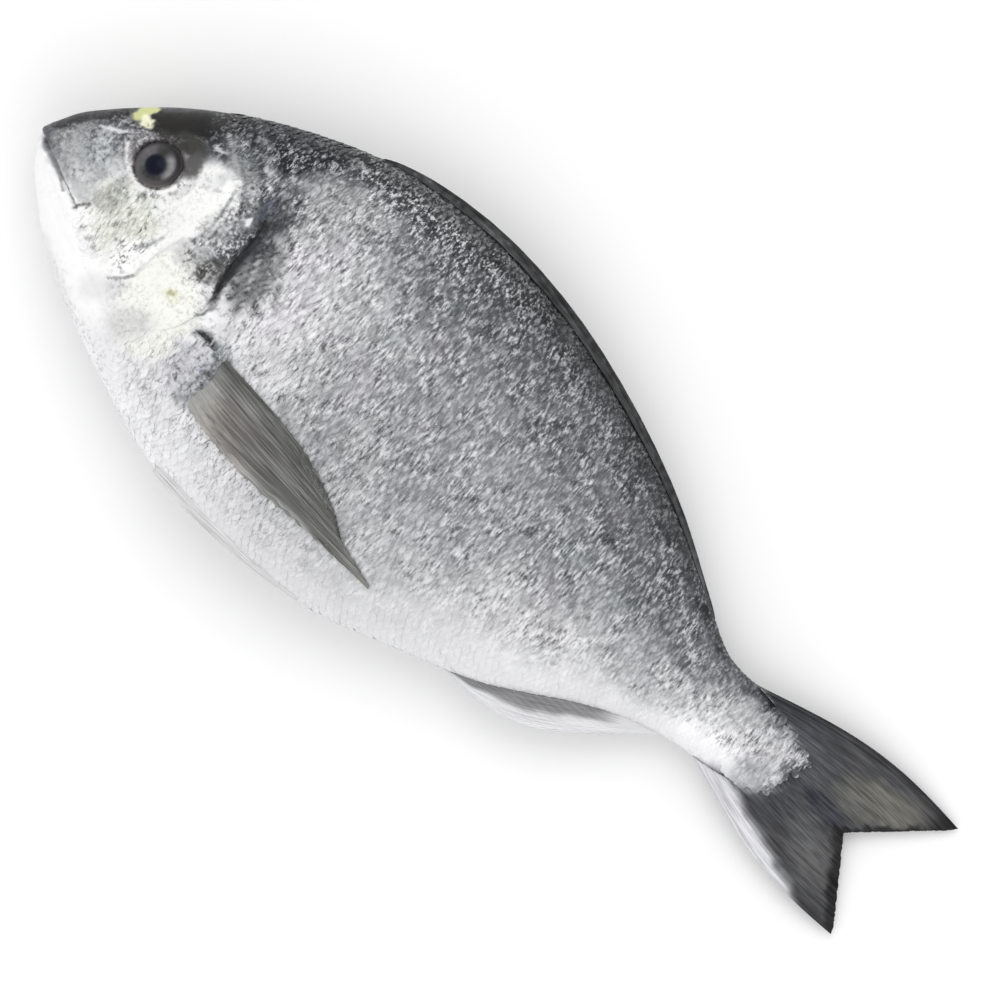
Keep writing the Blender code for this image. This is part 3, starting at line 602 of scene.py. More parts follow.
def skin_colour(x, y):
    """The fish's own markings, from above and below alike, with the painted shadows and glints among its
    spots and strokes.
    """
    wander = 1.4 * cloud(x, y, 4.0, 11) + 0.7 * cloud(x, y, 1.6, 12)
    height = height_share(x, y + wander)
    tone = FRONT_TONE(height)
    for start, length, next_tone in TONE_CHANGES:
        tone = blend(tone, next_tone(height), ease((x - start) / length))
    tone = blend(tone, TAIL_ROOT_TONE, tail_begins(x, y))
    uneven = 9 * cloud(x, y, 14.0, 13) + 9 * cloud(x, y, 4.6, 22) + 7 * cloud(x, y, 2.1, 25)
    tone = tone + uneven * ease(height * 4)
    colour = blend(grey(tone, DARK_TINT), grey(tone, LIGHT_TINT), ease((tone - 60) / 150))
    colour = colour + grey(cloud(x, y, 9.0, 14) * bump_at(height - 0.65, 0.28), HUE_DRIFT)
    fray = 0.5 * cloud(x, y, 0.9, 15)
    wx, wy = x + 0.35 * wander + fray, y + 0.5 * cloud(x, y, 2.4, 16) + fray
    colour = blend_spots(colour, wx, wy, SPOTS)
    sx, sy = x + 0.22 * cloud(x, y, 0.9, 17), y + 0.22 * cloud(x, y, 0.9, 18)
    for line, widths, stroke, strength in STROKES:
        gap, share = distance_to(sx, sy, line)
        width = widths[0] + (widths[1] - widths[0]) * share
        colour = blend(colour, stroke, strength * ease(1.5 - gap / width))
    return np.clip(colour, 4, 252)


def tail_begins(x, y):
    """0 on the scaled stalk, 1 on the dark tail fin, with a ragged change between."""
    ragged = x + 3.0 * cloud(x, y, 2.6, 20) + 1.6 * cloud(x, y, 1.0, 24)
    return ease((ragged - scaled_tail(y)) / 6.5 + 0.5) * (x > 236.0)


def blend_spots(colour, x, y, spots):
    """Lays oval spots on a colour, one over another."""
    for centre, radii, turn, spot, strength, soft in spots:
        reach = 1 + soft / 2
        colour = blend(colour, spot, strength * ease((reach - oval(x, y, centre, radii, turn)) / soft))
    return colour


def oval(x, y, centre, radii, turn):
    """0 at an oval's centre, 1 on its edge."""
    c, s = math.cos(math.radians(turn)), math.sin(math.radians(turn))
    dx, dy = x - centre[0], y - centre[1]
    return np.hypot((dx * c + dy * s) / radii[0], (dy * c - dx * s) / radii[1])


def blend_levels(level, x, y, spots):
    """Lays soft-edged ovals of other levels on a level."""
    for centre, radii, turn, value in spots:
        level = blend(level, value, ease((1.3 - oval(x, y, centre, radii, turn)) / 0.6))
    return level


def height_share(x, y):
    """0 at the belly's edge, 1 at the back's."""
    return np.clip((y - belly(x)) / np.maximum(back(x) - belly(x), 1e-6), 0, 1)


MARKS = (  # centre, radii, turn, level
    ((20.0, -12.0), (34.0, 9.0), -30, 0.05),
    ((13.0, 4.5), (9.0, 9.5), -42, 0.85),
    ((43.5, 9.0), (8.5, 16.0), 4, 0.22),
    ((43.6, 17.6), (4.4, 3.6), 20, 0.75),
    ((38.6, 12.0), (2.0, 5.0), -14, 0.8),
    ((33.0, -5.0), (12.0, 10.0), 24, 1.0),
    ((54.0, -15.0), (11.0, 12.0), 12, 0.3),
    ((56.0, 8.0), (7.0, 12.0), 0, 1.35),
    ((68.0, 10.0), (6.0, 12.0), 0, 1.2),
    ((27.0, 25.5), (8.5, 4.6), 40, 0.1),
    ((34.5, 21.0), (4.8, 4.4), 10, 0.1),
    ((18.0, 20.9), (2.2, 3.8), -10, 0.05),
)
# where the painted glints, the scales' reflections, are stronger or weaker
GLINTS = (  # centre, radii, turn, level
    ((15.0, -12.0), (30.0, 9.0), -30, 0.05),
    ((13.0, 4.5), (9.0, 9.5), -42, 0.6),
    ((44.0, 9.0), (9.0, 17.0), 4, 0.2),
    ((33.0, -5.0), (12.0, 10.0), 24, 0.8),
    ((88.0, 49.0), (30.0, 8.0), 0, 1.0),
    ((52.0, 34.0), (21.0, 8.0), 30, 0.6),
    ((56.0, 8.0), (6.0, 12.0), 0, 1.1),
    ((68.5, 8.0), (6.0, 12.0), 8, 0.3),
    ((172.0, 36.0), (34.0, 9.0), -24, 0.5),
    ((61.0, 22.0), (5.0, 6.0), 0, 0.12),
    ((63.0, 6.0), (2.2, 12.0), 3, 0.0),
    ((27.0, 26.0), (8.5, 5.0), 40, 0.0),
    ((34.5, 21.0), (4.8, 4.4), 10, 0.0),
    ((18.0, 20.9), (2.2, 3.8), -10, 0.0),
    ((7.0, 10.8), (10.5, 1.7), 52, 0.1),
)


def marks_at(x, y):
    """How strongly the fish is speckled and its scales outlined."""
    behind = ease((x - 100.0) / 60.0)
    smooth_belly = ease((height_share(x, y) + 0.04 * cloud(x, y, 8.0, 19) - 0.03 - 0.10 * behind) / 0.16)
    flank = 0.4 - 0.3 * behind + (0.6 + 0.3 * behind) * smooth_belly
    strip = ease((x - 80.0) / 14.0) * ease((7.5 + 1.5 * cloud(x, y, 5.0, 23) - y + belly(x)) / 2.5)
    return blend_levels(flank * (1 - 0.9 * strip), x, y, MARKS)


def glint_at(x, y):
    """How strongly the painted glints, bright flecks for the scales' reflections, stand out."""
    by_back = 0.4 + 0.6 * ease((back(x) - 1.5 - y) / 6.0)
    return blend_levels(0.35 + 0.35 * ease(height_share(x, y) * 2.5), x, y, GLINTS) * by_back


def looks_at(x, y):
    """The values that the skin's and the scales' materials read beside the colour."""
    return {"marks": marks_at(x, y), "glint": glint_at(x, y)}


# ---- mesh making ----
def positions(mesh):
    """A mesh's points, as they are before finish_piece gives them their places."""
    co = np.empty(len(mesh.vertices) * 3)
    mesh.vertices.foreach_get("co", co)
    return co.reshape(-1, 3)


def set_map(mesh, u, v):
    """Gives a mesh its own UV map, `place`, from a value for each vertex."""
    corner = np.empty(len(mesh.loops), int)
    mesh.loops.foreach_get("vertex_index", corner)
    layer = mesh.uv_layers.new(name="place")
    layer.data.foreach_set("uv", np.stack([u[corner], v[corner]], axis=1).astype(np.float32).ravel())


def mesh_of(name, bm):
    mesh = bpy.data.meshes.new(name)
    bm.to_mesh(mesh)
    bm.free()
    return mesh


def slab(along, across):
    """A flat grid, a unit either way, drawn up into a block a unit high."""
    bm = bmesh.new()
    bmesh.ops.create_grid(bm, x_segments=along, y_segments=across, size=1.0)
    bmesh.ops.recalc_face_normals(bm, faces=bm.faces)
    lifted = bmesh.ops.extrude_face_region(bm, geom=bm.faces[:], use_keep_orig=True)
    top = [item for item in lifted["geom"] if isinstance(item, bmesh.types.BMVert)]
    bmesh.ops.translate(bm, verts=top, vec=(0, 0, 1.0))
    return bm


def sheet(name, along, across):
    """A closed slab to make a plate or a fin of: the mesh and, for each vertex, its share of the length
    (0 to 1), its place across (-1 to 1) and its face: 1 on the top, -1 underneath."""
    bm = slab(along, across)
    bmesh.ops.recalc_face_normals(bm, faces=bm.faces)
    mesh = mesh_of(name, bm)
    co = positions(mesh)
    s, t = (co[:, 0] + 1) / 2, co[:, 1]
    set_map(mesh, s, (t + 1) / 2)
    return mesh, s, t, np.where(co[:, 2] > 0.5, 1.0, -1.0)


def ball(name, rings, segments):
    """A closed ball whose poles lie along the fish: the mesh and, for each vertex, its share of the length,
    and its place across and height on the ring (both -1 to 1, and 0 at the poles)."""
    bm = bmesh.new()
    bmesh.ops.create_uvsphere(bm, u_segments=segments, v_segments=rings, radius=1.0)
    bmesh.ops.rotate(bm, verts=bm.verts, cent=(0, 0, 0), matrix=Matrix.Rotation(math.radians(90), 3, "Y"))
    mesh = mesh_of(name, bm)
    x, y, z = positions(mesh).T
    radius = np.hypot(y, z)
    on_ring = radius > 1e-5
    s = np.arccos(np.clip(-x, -1, 1)) / math.pi
    s = np.where(on_ring, s, np.round(s))
    across = np.where(on_ring, y / np.maximum(radius, 1e-9), 0.0)
    height = np.where(on_ring, z / np.maximum(radius, 1e-9), 0.0)
    set_map(mesh, s, np.arctan2(height, across) / (2 * math.pi) + 0.5)
    return mesh, s, across, height


def keep_off_table(points, gap):
    """Lifts whatever would come nearer to the table than the gap."""
    points[:, 2] = np.maximum(points[:, 2], gap)


def finish_piece(mesh, points, colours, material, slot, **numbers):
    """Sets a mesh's points (fish coordinates), its colours and other values, and adds it to the fish."""
    mesh.vertices.foreach_set("co", world(points).astype(np.float32).ravel())
    layer = mesh.attributes.new("paint", "FLOAT_COLOR", "POINT")
    rgba = np.ones((len(points), 4), np.float32)
    rgba[:, :3] = linear(colours)
    layer.data.foreach_set("color", rgba.ravel())
    for name, values in numbers.items():
        layer = mesh.attributes.new(name, "FLOAT", "POINT")
        layer.data.foreach_set("value", np.asarray(values, np.float32).ravel())
    mesh.shade_smooth()
    bm = bmesh.new()
    bm.from_mesh(mesh)
    if bm.calc_volume(signed=True) < 0:
        bmesh.ops.reverse_faces(bm, faces=bm.faces)
        bm.to_mesh(mesh)
    bm.free()
    mesh.update()
    mesh.materials.append(material)
    piece = bpy.data.objects.new(mesh.name, mesh)
    bpy.context.scene.collection.objects.link(piece)
    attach(piece, "root")
    return piece


# ---- materials ----
def add(tree, kind, inputs=None, **settings):
    """A new node with its settings, and its inputs set or linked."""
    node = tree.nodes.new(kind)
    for key, value in settings.items():
        setattr(node, key, value)
    for key, value in (inputs or {}).items():
        if isinstance(value, bpy.types.NodeSocket):
            tree.links.new(value, node.inputs[key])
        else:
            node.inputs[key].default_value = value
    return node


def maths(tree, operation, *values):
    """The outcome of a sum on values or sockets."""
    return add(tree, "ShaderNodeMath", dict(enumerate(values)), operation=operation).outputs[0]


def remap(tree, value, low, high, to_low=0.0, to_high=1.0):
    """A smooth step of a value from one range to another."""
    inputs = {"Value": value, "From Min": low, "From Max": high, "To Min": to_low, "To Max": to_high}
    return add(tree, "ShaderNodeMapRange", inputs, interpolation_type="SMOOTHSTEP").outputs[0]


def mix(tree, factor, first, second, mode="MIX"):
    """Two colours mixed."""
    node = add(tree, "ShaderNodeMix", {0: factor, 6: first, 7: second}, data_type="RGBA", blend_type=mode)
    return node.outputs[2]


def attribute(tree, name, output):
    return add(tree, "ShaderNodeAttribute", attribute_name=name).outputs[output]


def noise(tree, vector, scale, detail=2.0, roughness=0.5):
    inputs = {"Vector": vector, "Scale": scale, "Detail": detail, "Roughness": roughness}
    return add(tree, "ShaderNodeTexNoise", inputs).outputs[0]


def new_group(name, inputs, outputs):
    """An empty node group with its sockets: the group and its two end nodes."""
    group = bpy.data.node_groups.new(name, "ShaderNodeTree")
    for label, kind, default in inputs:
        socket = group.interface.new_socket(name=label, in_out="INPUT", socket_type=kind)
        socket.default_value = default
    for label, kind in outputs:
        group.interface.new_socket(name=label, in_out="OUTPUT", socket_type=kind)
    return group, group.nodes.new("NodeGroupInput"), group.nodes.new("NodeGroupOutput")


def flecks_and_glints_group():
    """Painted glints, bright flecks that stand for the scales' reflections, and dark flecks of the fish's
    own, drawn out from back to belly, stronger in some patches than in others.
    """
    number, colour = "NodeSocketFloat", "NodeSocketColor"
    group, enter, leave = new_group(
        "silver_flecks_and_glints",
        [("Colour", colour, (0.5, 0.5, 0.5, 1)), ("Size", number, 800.0), ("Stretch", number, 0.4),
         ("Bright", number, 0.5), ("Dark", number, 0.5)],
        [("Colour", colour), ("Fleck", number)])
    size = enter.outputs["Size"]
    coords = add(group, "ShaderNodeTexCoord").outputs["Object"]
    shape = add(group, "ShaderNodeCombineXYZ", {0: 1.0, 1: enter.outputs["Stretch"], 2: 0.7}).outputs[0]
    drawn = add(group, "ShaderNodeVectorMath", {0: coords, 1: shape}, operation="MULTIPLY").outputs[0]
    dashes = noise(group, drawn, size, 2.0, 0.6)
    lumps = noise(group, coords, maths(group, "MULTIPLY", size, 0.25), 2.0, 0.5)
    specks = noise(group, coords, maths(group, "MULTIPLY", size, 1.6), 2.0, 0.6)
    patches = noise(group, coords, maths(group, "MULTIPLY", size, 0.12), 1.0, 0.5)
    strength = remap(group, patches, 0.38, 0.62, 0.55, 1.25)
    blended = maths(group, "MULTIPLY", dashes, 0.6)
    for finer in (lumps, specks):
        blended = maths(group, "ADD", blended, maths(group, "MULTIPLY", finer, 0.2))
    bright = maths(group, "MULTIPLY", enter.outputs["Bright"], strength)
    dark = maths(group, "MULTIPLY", enter.outputs["Dark"], strength)
    # light: painted glints for the scales' reflections; shade: the fish's own dark flecks
    light = maths(group, "MULTIPLY", remap(group, blended, 0.49, 0.62), bright)
    shade = maths(group, "MULTIPLY", remap(group, blended, 0.51, 0.37), dark)
    lighter = mix(group, 1.0, enter.outputs["Colour"], (0.55, 0.55, 0.56, 1), "SCREEN")
    darker = mix(group, 1.0, enter.outputs["Colour"], (0.22, 0.22, 0.23, 1), "MULTIPLY")
    out = mix(group, light, enter.outputs["Colour"], lighter)
    out = mix(group, shade, out, darker)
    group.links.new(out, leave.inputs["Colour"])
    group.links.new(blended, leave.inputs["Fleck"])
    return group


def grain_group():
    """Fine unevenness of wet skin, as a normal."""
    group, enter, leave = new_group(
        "wet_grain",
        [("Size", "NodeSocketFloat", 2500.0), ("Strength", "NodeSocketFloat", 0.2),
         ("Depth", "NodeSocketFloat", 0.0001)],
        [("Normal", "NodeSocketVector")])
    coords = add(group, "ShaderNodeTexCoord").outputs["Object"]
    height = noise(group, coords, enter.outputs["Size"], 2.0, 0.6)
    bump = add(group, "ShaderNodeBump", {"Height": height, "Strength": enter.outputs["Strength"],
                                         "Distance": enter.outputs["Depth"]})
    group.links.new(bump.outputs[0], leave.inputs[0])
    return group


def use_group(tree, group, **inputs):
    return add(tree, "ShaderNodeGroup", inputs, node_tree=group).outputs


def new_material(name, **plain):
    """A material with its plain values: the material, its node tree and its shader."""
    material = bpy.data.materials.new(name)
    material.use_nodes = True
    shader = material.node_tree.nodes["Principled BSDF"]
    for key, value in plain.items():
        shader.inputs[key.replace("_", " ")].default_value = value
    return material, material.node_tree, shader


def connect(tree, shader, **links):
    """Links sockets to the shader's inputs, named with _ for a space."""
    for key, value in links.items():
        tree.links.new(value, shader.inputs[key.replace("_", " ")])


def scale_material(flecks, grain):
    """Silvery scales: each is dark where it comes out from under the next, from its own pigment and from
    painted shade, carries a painted highlight in a crescent near its free edge, and is thinly rimmed."""
    material, tree, shader = new_material(
        "silver_scales", Metallic=0.12, Coat_Weight=0.05, Coat_Roughness=0.2, Specular_IOR_Level=0.2)
    paint, tint = attribute(tree, "paint", "Color"), attribute(tree, "tint", "Fac")
    marks, glint = attribute(tree, "marks", "Fac"), attribute(tree, "glint", "Fac")
    place = add(tree, "ShaderNodeUVMap", uv_map="place").outputs[0]
    split = add(tree, "ShaderNodeSeparateXYZ", {0: place})
    along = split.outputs[0]
    off_middle = maths(tree, "ABSOLUTE", maths(tree, "SUBTRACT", split.outputs[1], 0.5))
    # the crescent where each scale's painted highlight falls
    crescent = maths(tree, "MULTIPLY", remap(tree, along, 0.60, 0.76), remap(tree, along, 0.99, 0.92))
    crescent = maths(tree, "MULTIPLY", crescent, remap(tree, off_middle, 0.42, 0.16))
    shift = maths(tree, "MULTIPLY", remap(tree, tint, 0.0, 1.0, -0.13, 0.13), marks)
    # darker outside the crescent: the scale's own pigment, and painted shade under the scale ahead
    hollow = maths(tree, "MULTIPLY", maths(tree, "SUBTRACT", 1.0, crescent), marks)
    hollow = maths(tree, "MULTIPLY", hollow, 0.06)
    level = maths(tree, "SUBTRACT", maths(tree, "ADD", 1.0, shift), hollow)
    level = add(tree, "ShaderNodeCombineColor", {0: level, 1: level, 2: level}).outputs[0]
    toned = mix(tree, 1.0, paint, level, "MULTIPLY")
    # painted highlight in the crescent, stronger on some scales than on others
    lit = maths(tree, "MULTIPLY", crescent, maths(tree, "MULTIPLY", remap(tree, tint, 0.35, 0.85), glint))
    toned = mix(tree, lit, toned, mix(tree, 1.0, toned, (0.2, 0.2, 0.21, 1), "SCREEN"))
    rim = maths(tree, "MULTIPLY", remap(tree, along, 0.91, 0.985), maths(tree, "MULTIPLY", marks, 0.22))
    toned = mix(tree, rim, toned, mix(tree, 1.0, toned, (0.4, 0.4, 0.41, 1), "MULTIPLY"))
    # glint sets the painted glints, marks the fish's own dark flecks
    bright, dark = maths(tree, "MULTIPLY", glint, 1.05), maths(tree, "MULTIPLY", marks, 0.76)
    out = use_group(tree, flecks, Colour=toned, Size=1450.0, Stretch=0.28, Bright=bright, Dark=dark)
    normal = use_group(tree, grain, Size=2200.0, Strength=0.35, Depth=0.00012)["Normal"]
    rough = remap(tree, out["Fleck"], 0.35, 0.65, 0.50, 0.30)
    connect(tree, shader, Base_Color=out["Colour"], Roughness=rough, Normal=normal)
    return material


def skin_material(flecks, grain):
    """The bare skin of the head and the plates, and what shows between the scales."""
    material, tree, shader = new_material(
        "bare_skin", Metallic=0.04, Coat_Weight=0.05, Coat_Roughness=0.15, Specular_IOR_Level=0.2)
    paint = attribute(tree, "paint", "Color")
    marks, glint = attribute(tree, "marks", "Fac"), attribute(tree, "glint", "Fac")
    # glint sets the painted glints, marks the fish's own dark flecks
    bright, dark = maths(tree, "MULTIPLY", glint, 0.8), maths(tree, "MULTIPLY", marks, 0.8)
    out = use_group(tree, flecks, Colour=paint, Size=900.0, Stretch=0.8, Bright=bright, Dark=dark)
    normal = use_group(tree, grain, Size=1600.0, Strength=0.35, Depth=0.00015)["Normal"]
    rough = remap(tree, out["Fleck"], 0.35, 0.65, 0.46, 0.30)
    connect(tree, shader, Base_Color=out["Colour"], Roughness=rough, Normal=normal)
    return material


def fin_material(grain, name, streaks):
    """Membrane and rays: streaks that run along the fin, from its own place map."""
    material, tree, shader = new_material(name, Roughness=0.5, Specular_IOR_Level=0.14)
    paint, ray = attribute(tree, "paint", "Color"), attribute(tree, "ray", "Fac")
    place = add(tree, "ShaderNodeUVMap", uv_map="place").outputs[0]
    shape = (3.5, streaks, 1.0)
    drawn = add(tree, "ShaderNodeVectorMath", {0: place, 1: shape}, operation="MULTIPLY").outputs[0]
    streak = noise(tree, drawn, 1.0, 3.0, 0.65)
    dark = mix(tree, 1.0, paint, (0.58, 0.58, 0.59, 1), "MULTIPLY")
    light = mix(tree, 1.0, paint, (0.018, 0.018, 0.017, 1), "SCREEN")
    colour = mix(tree, remap(tree, streak, 0.36, 0.64), dark, light)
    colour = mix(tree, maths(tree, "MULTIPLY", ray, 0.2), colour, light)
    normal = use_group(tree, grain, Size=2600.0, Strength=0.25, Depth=0.0001)["Normal"]
    rough = remap(tree, streak, 0.3, 0.7, 0.55, 0.38)
    connect(tree, shader, Base_Color=colour, Roughness=rough, Normal=normal)
    return material


def eye_material():
    material, tree, shader = new_material("eyeball", Roughness=0.22, Specular_IOR_Level=0.08)
    connect(tree, shader, Base_Color=attribute(tree, "paint", "Color"))
    return material


# ---- the skin and the head's plates ----
def make_skin(material):
    """The whole bare skin: a ball drawn out to the fish, with the head's features."""
    mesh, s, across, height = ball("bare_skin", *SKIN_GRID)
    x = BODY_LENGTH * (0.25 * s + 0.75 * s ** 3)
    angle = np.arctan2(height, across)
    points = skin_point(x, angle)
    y = points[:, 1]
    on_head = ease((70.0 - x) / 8.0)
    flank = ease(section(x)[3] * np.abs(np.sin(angle)) / 2.0)
    lift = head_relief(x, y) * on_head * (0.25 + 0.75 * flank) - SKIN_SINK
    points = points + skin_normal(x, angle) * lift[:, None]
    keep_off_table(points, SKIN_CLEARANCE)
    piece = finish_piece(mesh, points, skin_colour(x, y), material, "skin", **looks_at(x, y))
    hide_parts("body")


def make_plate(name, edge, size, lift, side, material):
    """A bone plate of the head, narrower below, whose rear edge stands off the skin behind it."""
    mesh, s, t, face = sheet(name, *PLATE_GRID)
    length, (lowest, highest) = size
    narrowest = 6.0
    y = lowest + (highest - lowest) * (t + 1) / 2
    x = edge(y) - (narrowest + (length - narrowest) * ease((y - lowest) / 16.0)) * (1 - s)
    y = np.maximum(y, belly(x) + 3.0)
    height = lift(x, y) + 0.05 * cloud(x, y, 2.0, 21) - 0.35 * ease((s - 0.94) / 0.06) ** 2
    height = np.where(face > 0, height, height - PLATE_THICKNESS)
    base = np.stack([x, y, flank_height(x, y, side)], axis=1)
    points = base + flank_normal(x, y, side) * height[:, None]
    keep_off_table(points, PLATE_CLEARANCE)
    finish_piece(mesh, points, skin_colour(x, y), material, "skin", **looks_at(x, y))


# ---- the scales ----
def scale_blank():
    """One scale: a small closed shield, a unit either way, whose top has a crisp rim."""
    bm = slab(2, 4)
    under = [face for face in bm.faces if all(vert.co.z < 0.5 for vert in face.verts)]
    bmesh.ops.dissolve_faces(bm, faces=under, use_verts=True)
    bmesh.ops.recalc_face_normals(bm, faces=bm.faces)
    for edge in bm.edges:
        if edge.calc_face_angle(0.0) > 1.0:
            edge.smooth = False
    return mesh_of("scale_blank", bm)


def many_scales(name, count):
    """A joined mesh of `count` blank scales: the mesh and, for each vertex, its place along and across its
    scale, whether it is on top, and its scale's number."""
    blank = bpy.data.objects.new("scale_blank", scale_blank())
    bpy.context.scene.collection.objects.link(blank)
    repeat = blank.modifiers.new("repeat", "ARRAY")
    repeat.count = count
    repeat.use_relative_offset = False
    graph = bpy.context.evaluated_depsgraph_get()
    mesh = bpy.data.meshes.new_from_object(blank.evaluated_get(graph))
    mesh.name = name
    size = len(blank.data.vertices)
    bpy.data.objects.remove(blank)
    co = positions(mesh)
    set_map(mesh, (co[:, 0] + 1) / 2, (co[:, 1] + 1) / 2)
    return mesh, co[:, 0], co[:, 1], co[:, 2] > 0.5, np.arange(len(co)) // size


def shield(along, across):
    """A scale's outline: rounded behind, blunter in front."""
    return along - across ** 2 * (0.125 + 0.375 * along), across * (1 - 0.2 * along ** 2)


def scale_lift(along, across, top, which, rng, size):
    """How high each point of a scale stands: it slopes up to its free rear edge, no two quite alike."""
    count = which[-1] + 1
    tilt = rng.normal(0.0, 0.05, count)[which]
    roll = rng.normal(0.0, 0.05, count)[which]
    slope = (SCALE_RISE + tilt) * (along + 1) / 2 * size ** 0.5
    dome = -0.07 * across ** 2 + roll * across
    return SCALE_FRONT_DEPTH + slope + dome - np.where(top, 0.0, SCALE_THICKNESS)


class Flank:
    """One side of the fish unrolled: finds the angle round the body for a distance from the back."""

    step = 0.5  # from one column to the next, along the fish

    def __init__(self, side):
        self.side = side
        self.columns = np.arange(24.0, 259.0, self.step)
        self.angles = np.linspace(0.0, math.pi, 241)
        points = skin_point(self.columns[:, None], side * self.angles[None, :])
        steps = np.linalg.norm(np.diff(points, axis=1), axis=2)
        zero = np.zeros((len(self.columns), 1))
        self.arcs = np.concatenate([zero, np.cumsum(steps, axis=1)], axis=1)
        self.total = self.arcs[:, -1]
        self.apart = 1000.0  # more than any column's length, so that one sorted list holds them all
        self.flat = (self.arcs + self.apart * np.arange(len(self.columns))[:, None]).ravel()
        self.line = self.arc_of_height(side_line(self.columns), points[:, :, 1])

    def arc_of_height(self, heights, ys):
        """The distance from the back, in each column, down to a height."""
        below = (ys > heights[:, None]).sum(axis=1)
        return self.arcs[np.arange(len(heights)), np.clip(below, 1, len(self.angles) - 1)]

    def column_angle(self, column, arc):
        """The angle in one column; past the back or the belly it goes on round the other side."""
        total = self.total[column]
        folded = np.abs(arc)
        over = folded > total
        folded = np.clip(np.where(over, 2 * total - folded, folded), 0.0, total - 1e-6)
        j = np.searchsorted(self.flat, column * self.apart + folded, side="right")
        j = np.clip(j - column * len(self.angles), 1, len(self.angles) - 1)
        low, high = self.arcs[column, j - 1], self.arcs[column, j]
        share = (folded - low) / np.maximum(high - low, 1e-9)
        angle = self.angles[j - 1] + share * (self.angles[1] - self.angles[0])
        return np.where(over, 2 * math.pi - angle, angle) * np.where(arc < 0, -1.0, 1.0)

    def angle(self, x, arc):
        place = np.clip((x - self.columns[0]) / self.step, 0.0, len(self.columns) - 1.001)
        column = place.astype(int)
        share = place - column
        first, second = self.column_angle(column, arc), self.column_angle(column + 1, arc)
        return first + (second - first) * share

    def at(self, x, values):
        return np.interp(x, self.columns, values)


def scale_lattice(flank):
    """The scales of one flank: x, distance from the back, size and row for each. The rows follow the side
    line, every other row half a scale behind."""
    shrink = (flank.total / flank.total.max()) ** SCALE_SHRINK
    run = np.cumsum(Flank.step / (SCALE_PITCH * (shrink[1:] + shrink[:-1]) / 2))
    run = np.concatenate([[0.0], run])
    found = []
    for row in range(-SCALE_ROWS, SCALE_ROWS + 1):
        number = np.arange(0.0, run[-1], 1.0) + 0.5 * (row % 2)
        x = np.interp(number, run, flank.columns)
        arc = flank.at(x, flank.line) + row * ROW_SPACING * flank.at(x, shrink)
        found.append(np.stack([x, arc, flank.at(x, shrink), np.full(len(x), float(row))], axis=1))
    found = np.concatenate(found)
    x, arc = found[:, 0], found[:, 1]
    y = skin_point(x, flank.side * flank.angle(x, arc))[:, 1]
    margin = 0.4 * ROW_SPACING
    inside = (arc > -margin) & (arc < flank.at(x, flank.total) + margin)
    front = scaled_front(y) + 0.7 * cloud(x, y, 3.0, 31)
    inside &= (x > front) & (x < LAST_SCALE)
    return found[inside]


def make_scales(name, side, material):
    """The overlapping scales of one flank, each laid on the skin and tilted up behind."""
    flank = Flank(side)
    x0, arc0, size, row = scale_lattice(flank).T
    rng = np.random.default_rng(7 if side > 0 else 8)
    mesh, along, across, top, which = many_scales(name, len(x0))
    a, b = shield(along, across)
    stray = rng.normal(0.0, 0.09, (2, len(x0)))
    length = SCALE_PITCH * SCALE_LENGTH / 2 * size * (1 + rng.normal(0.0, 0.05, len(x0)))
    width = ROW_SPACING * SCALE_WIDTH * size * (1 + rng.normal(0.0, 0.04, len(x0)))
    x = x0[which] + stray[0][which] + a * length[which]
    arc = arc0[which] + stray[1][which] + b * width[which]
    arc += flank.at(x, flank.line) - flank.at(x0, flank.line)[which]
    x = np.clip(x, 0.5, BODY_LENGTH - 1.0)
    angle = side * flank.angle(x, arc)
    base = skin_point(x, angle)
    y = base[:, 1]
    keep_off_table(base, SCALE_CLEARANCE)
    lift = scale_lift(along, across, top, which, rng, size[which])
    points = base + skin_normal(x, angle) * lift[:, None]
    keep_off_table(points, TABLE_GAP)
    tint = np.clip(rng.normal(0.5, 0.2, len(x0)), 0, 1)[which]
    tube = (row == 0)[which] & (np.abs(across) < 0.35)
    colours = skin_colour(x, y) * np.where(tube, SIDE_LINE_SHADE, 1.0)[:, None]
    finish_piece(mesh, points, colours, material, "skin", tint=tint, **looks_at(x, y))


def make_flat_scales(name, centres, sizes, side, height_of, flatness, material, seed):
    """Small scales set one by one on the head or the tail's root, at (x, y, heading) places."""
    rng = np.random.default_rng(seed)
    mesh, along, across, top, which = many_scales(name, len(centres))
    a, b = shield(along, across)
    turn = rng.normal(0.0, 0.12, len(centres)) + centres[:, 2]
    jitter = rng.normal(0.0, 0.12, (2, len(centres))) * sizes
    dx, dy = a * (0.85 * sizes)[which], b * (0.8 * sizes)[which]
    c, s = np.cos(turn)[which], np.sin(turn)[which]
    x = (centres[:, 0] + jitter[0])[which] + dx * c - dy * s
    y = (centres[:, 1] + jitter[1])[which] + dx * s + dy * c
    shrink = (sizes / SCALE_PITCH)[which]
    lift = scale_lift(along, across, top, which, rng, shrink) * flatness
    base = np.stack([x, y, height_of(x, y, side)], axis=1)
    points = base + flank_normal(np.clip(x, 1, BODY_LENGTH - 6), y, side) * lift[:, None]
    keep_off_table(points, TABLE_GAP)
    tint = np.clip(rng.normal(0.5, 0.22, len(centres)), 0, 1)
    near_fin = ease((x - scaled_tail(y) + 1.4 + 2.2 * cloud(x, y, 1.5, 82)) / 3.4) * (x > STALK_END + 2.0)
    colour = blend(skin_colour(x, y), SCALES_BY_TAIL, 0.62 * near_fin)
    finish_piece(mesh, points, colour, material, "skin", tint=tint[which], **looks_at(x, y))


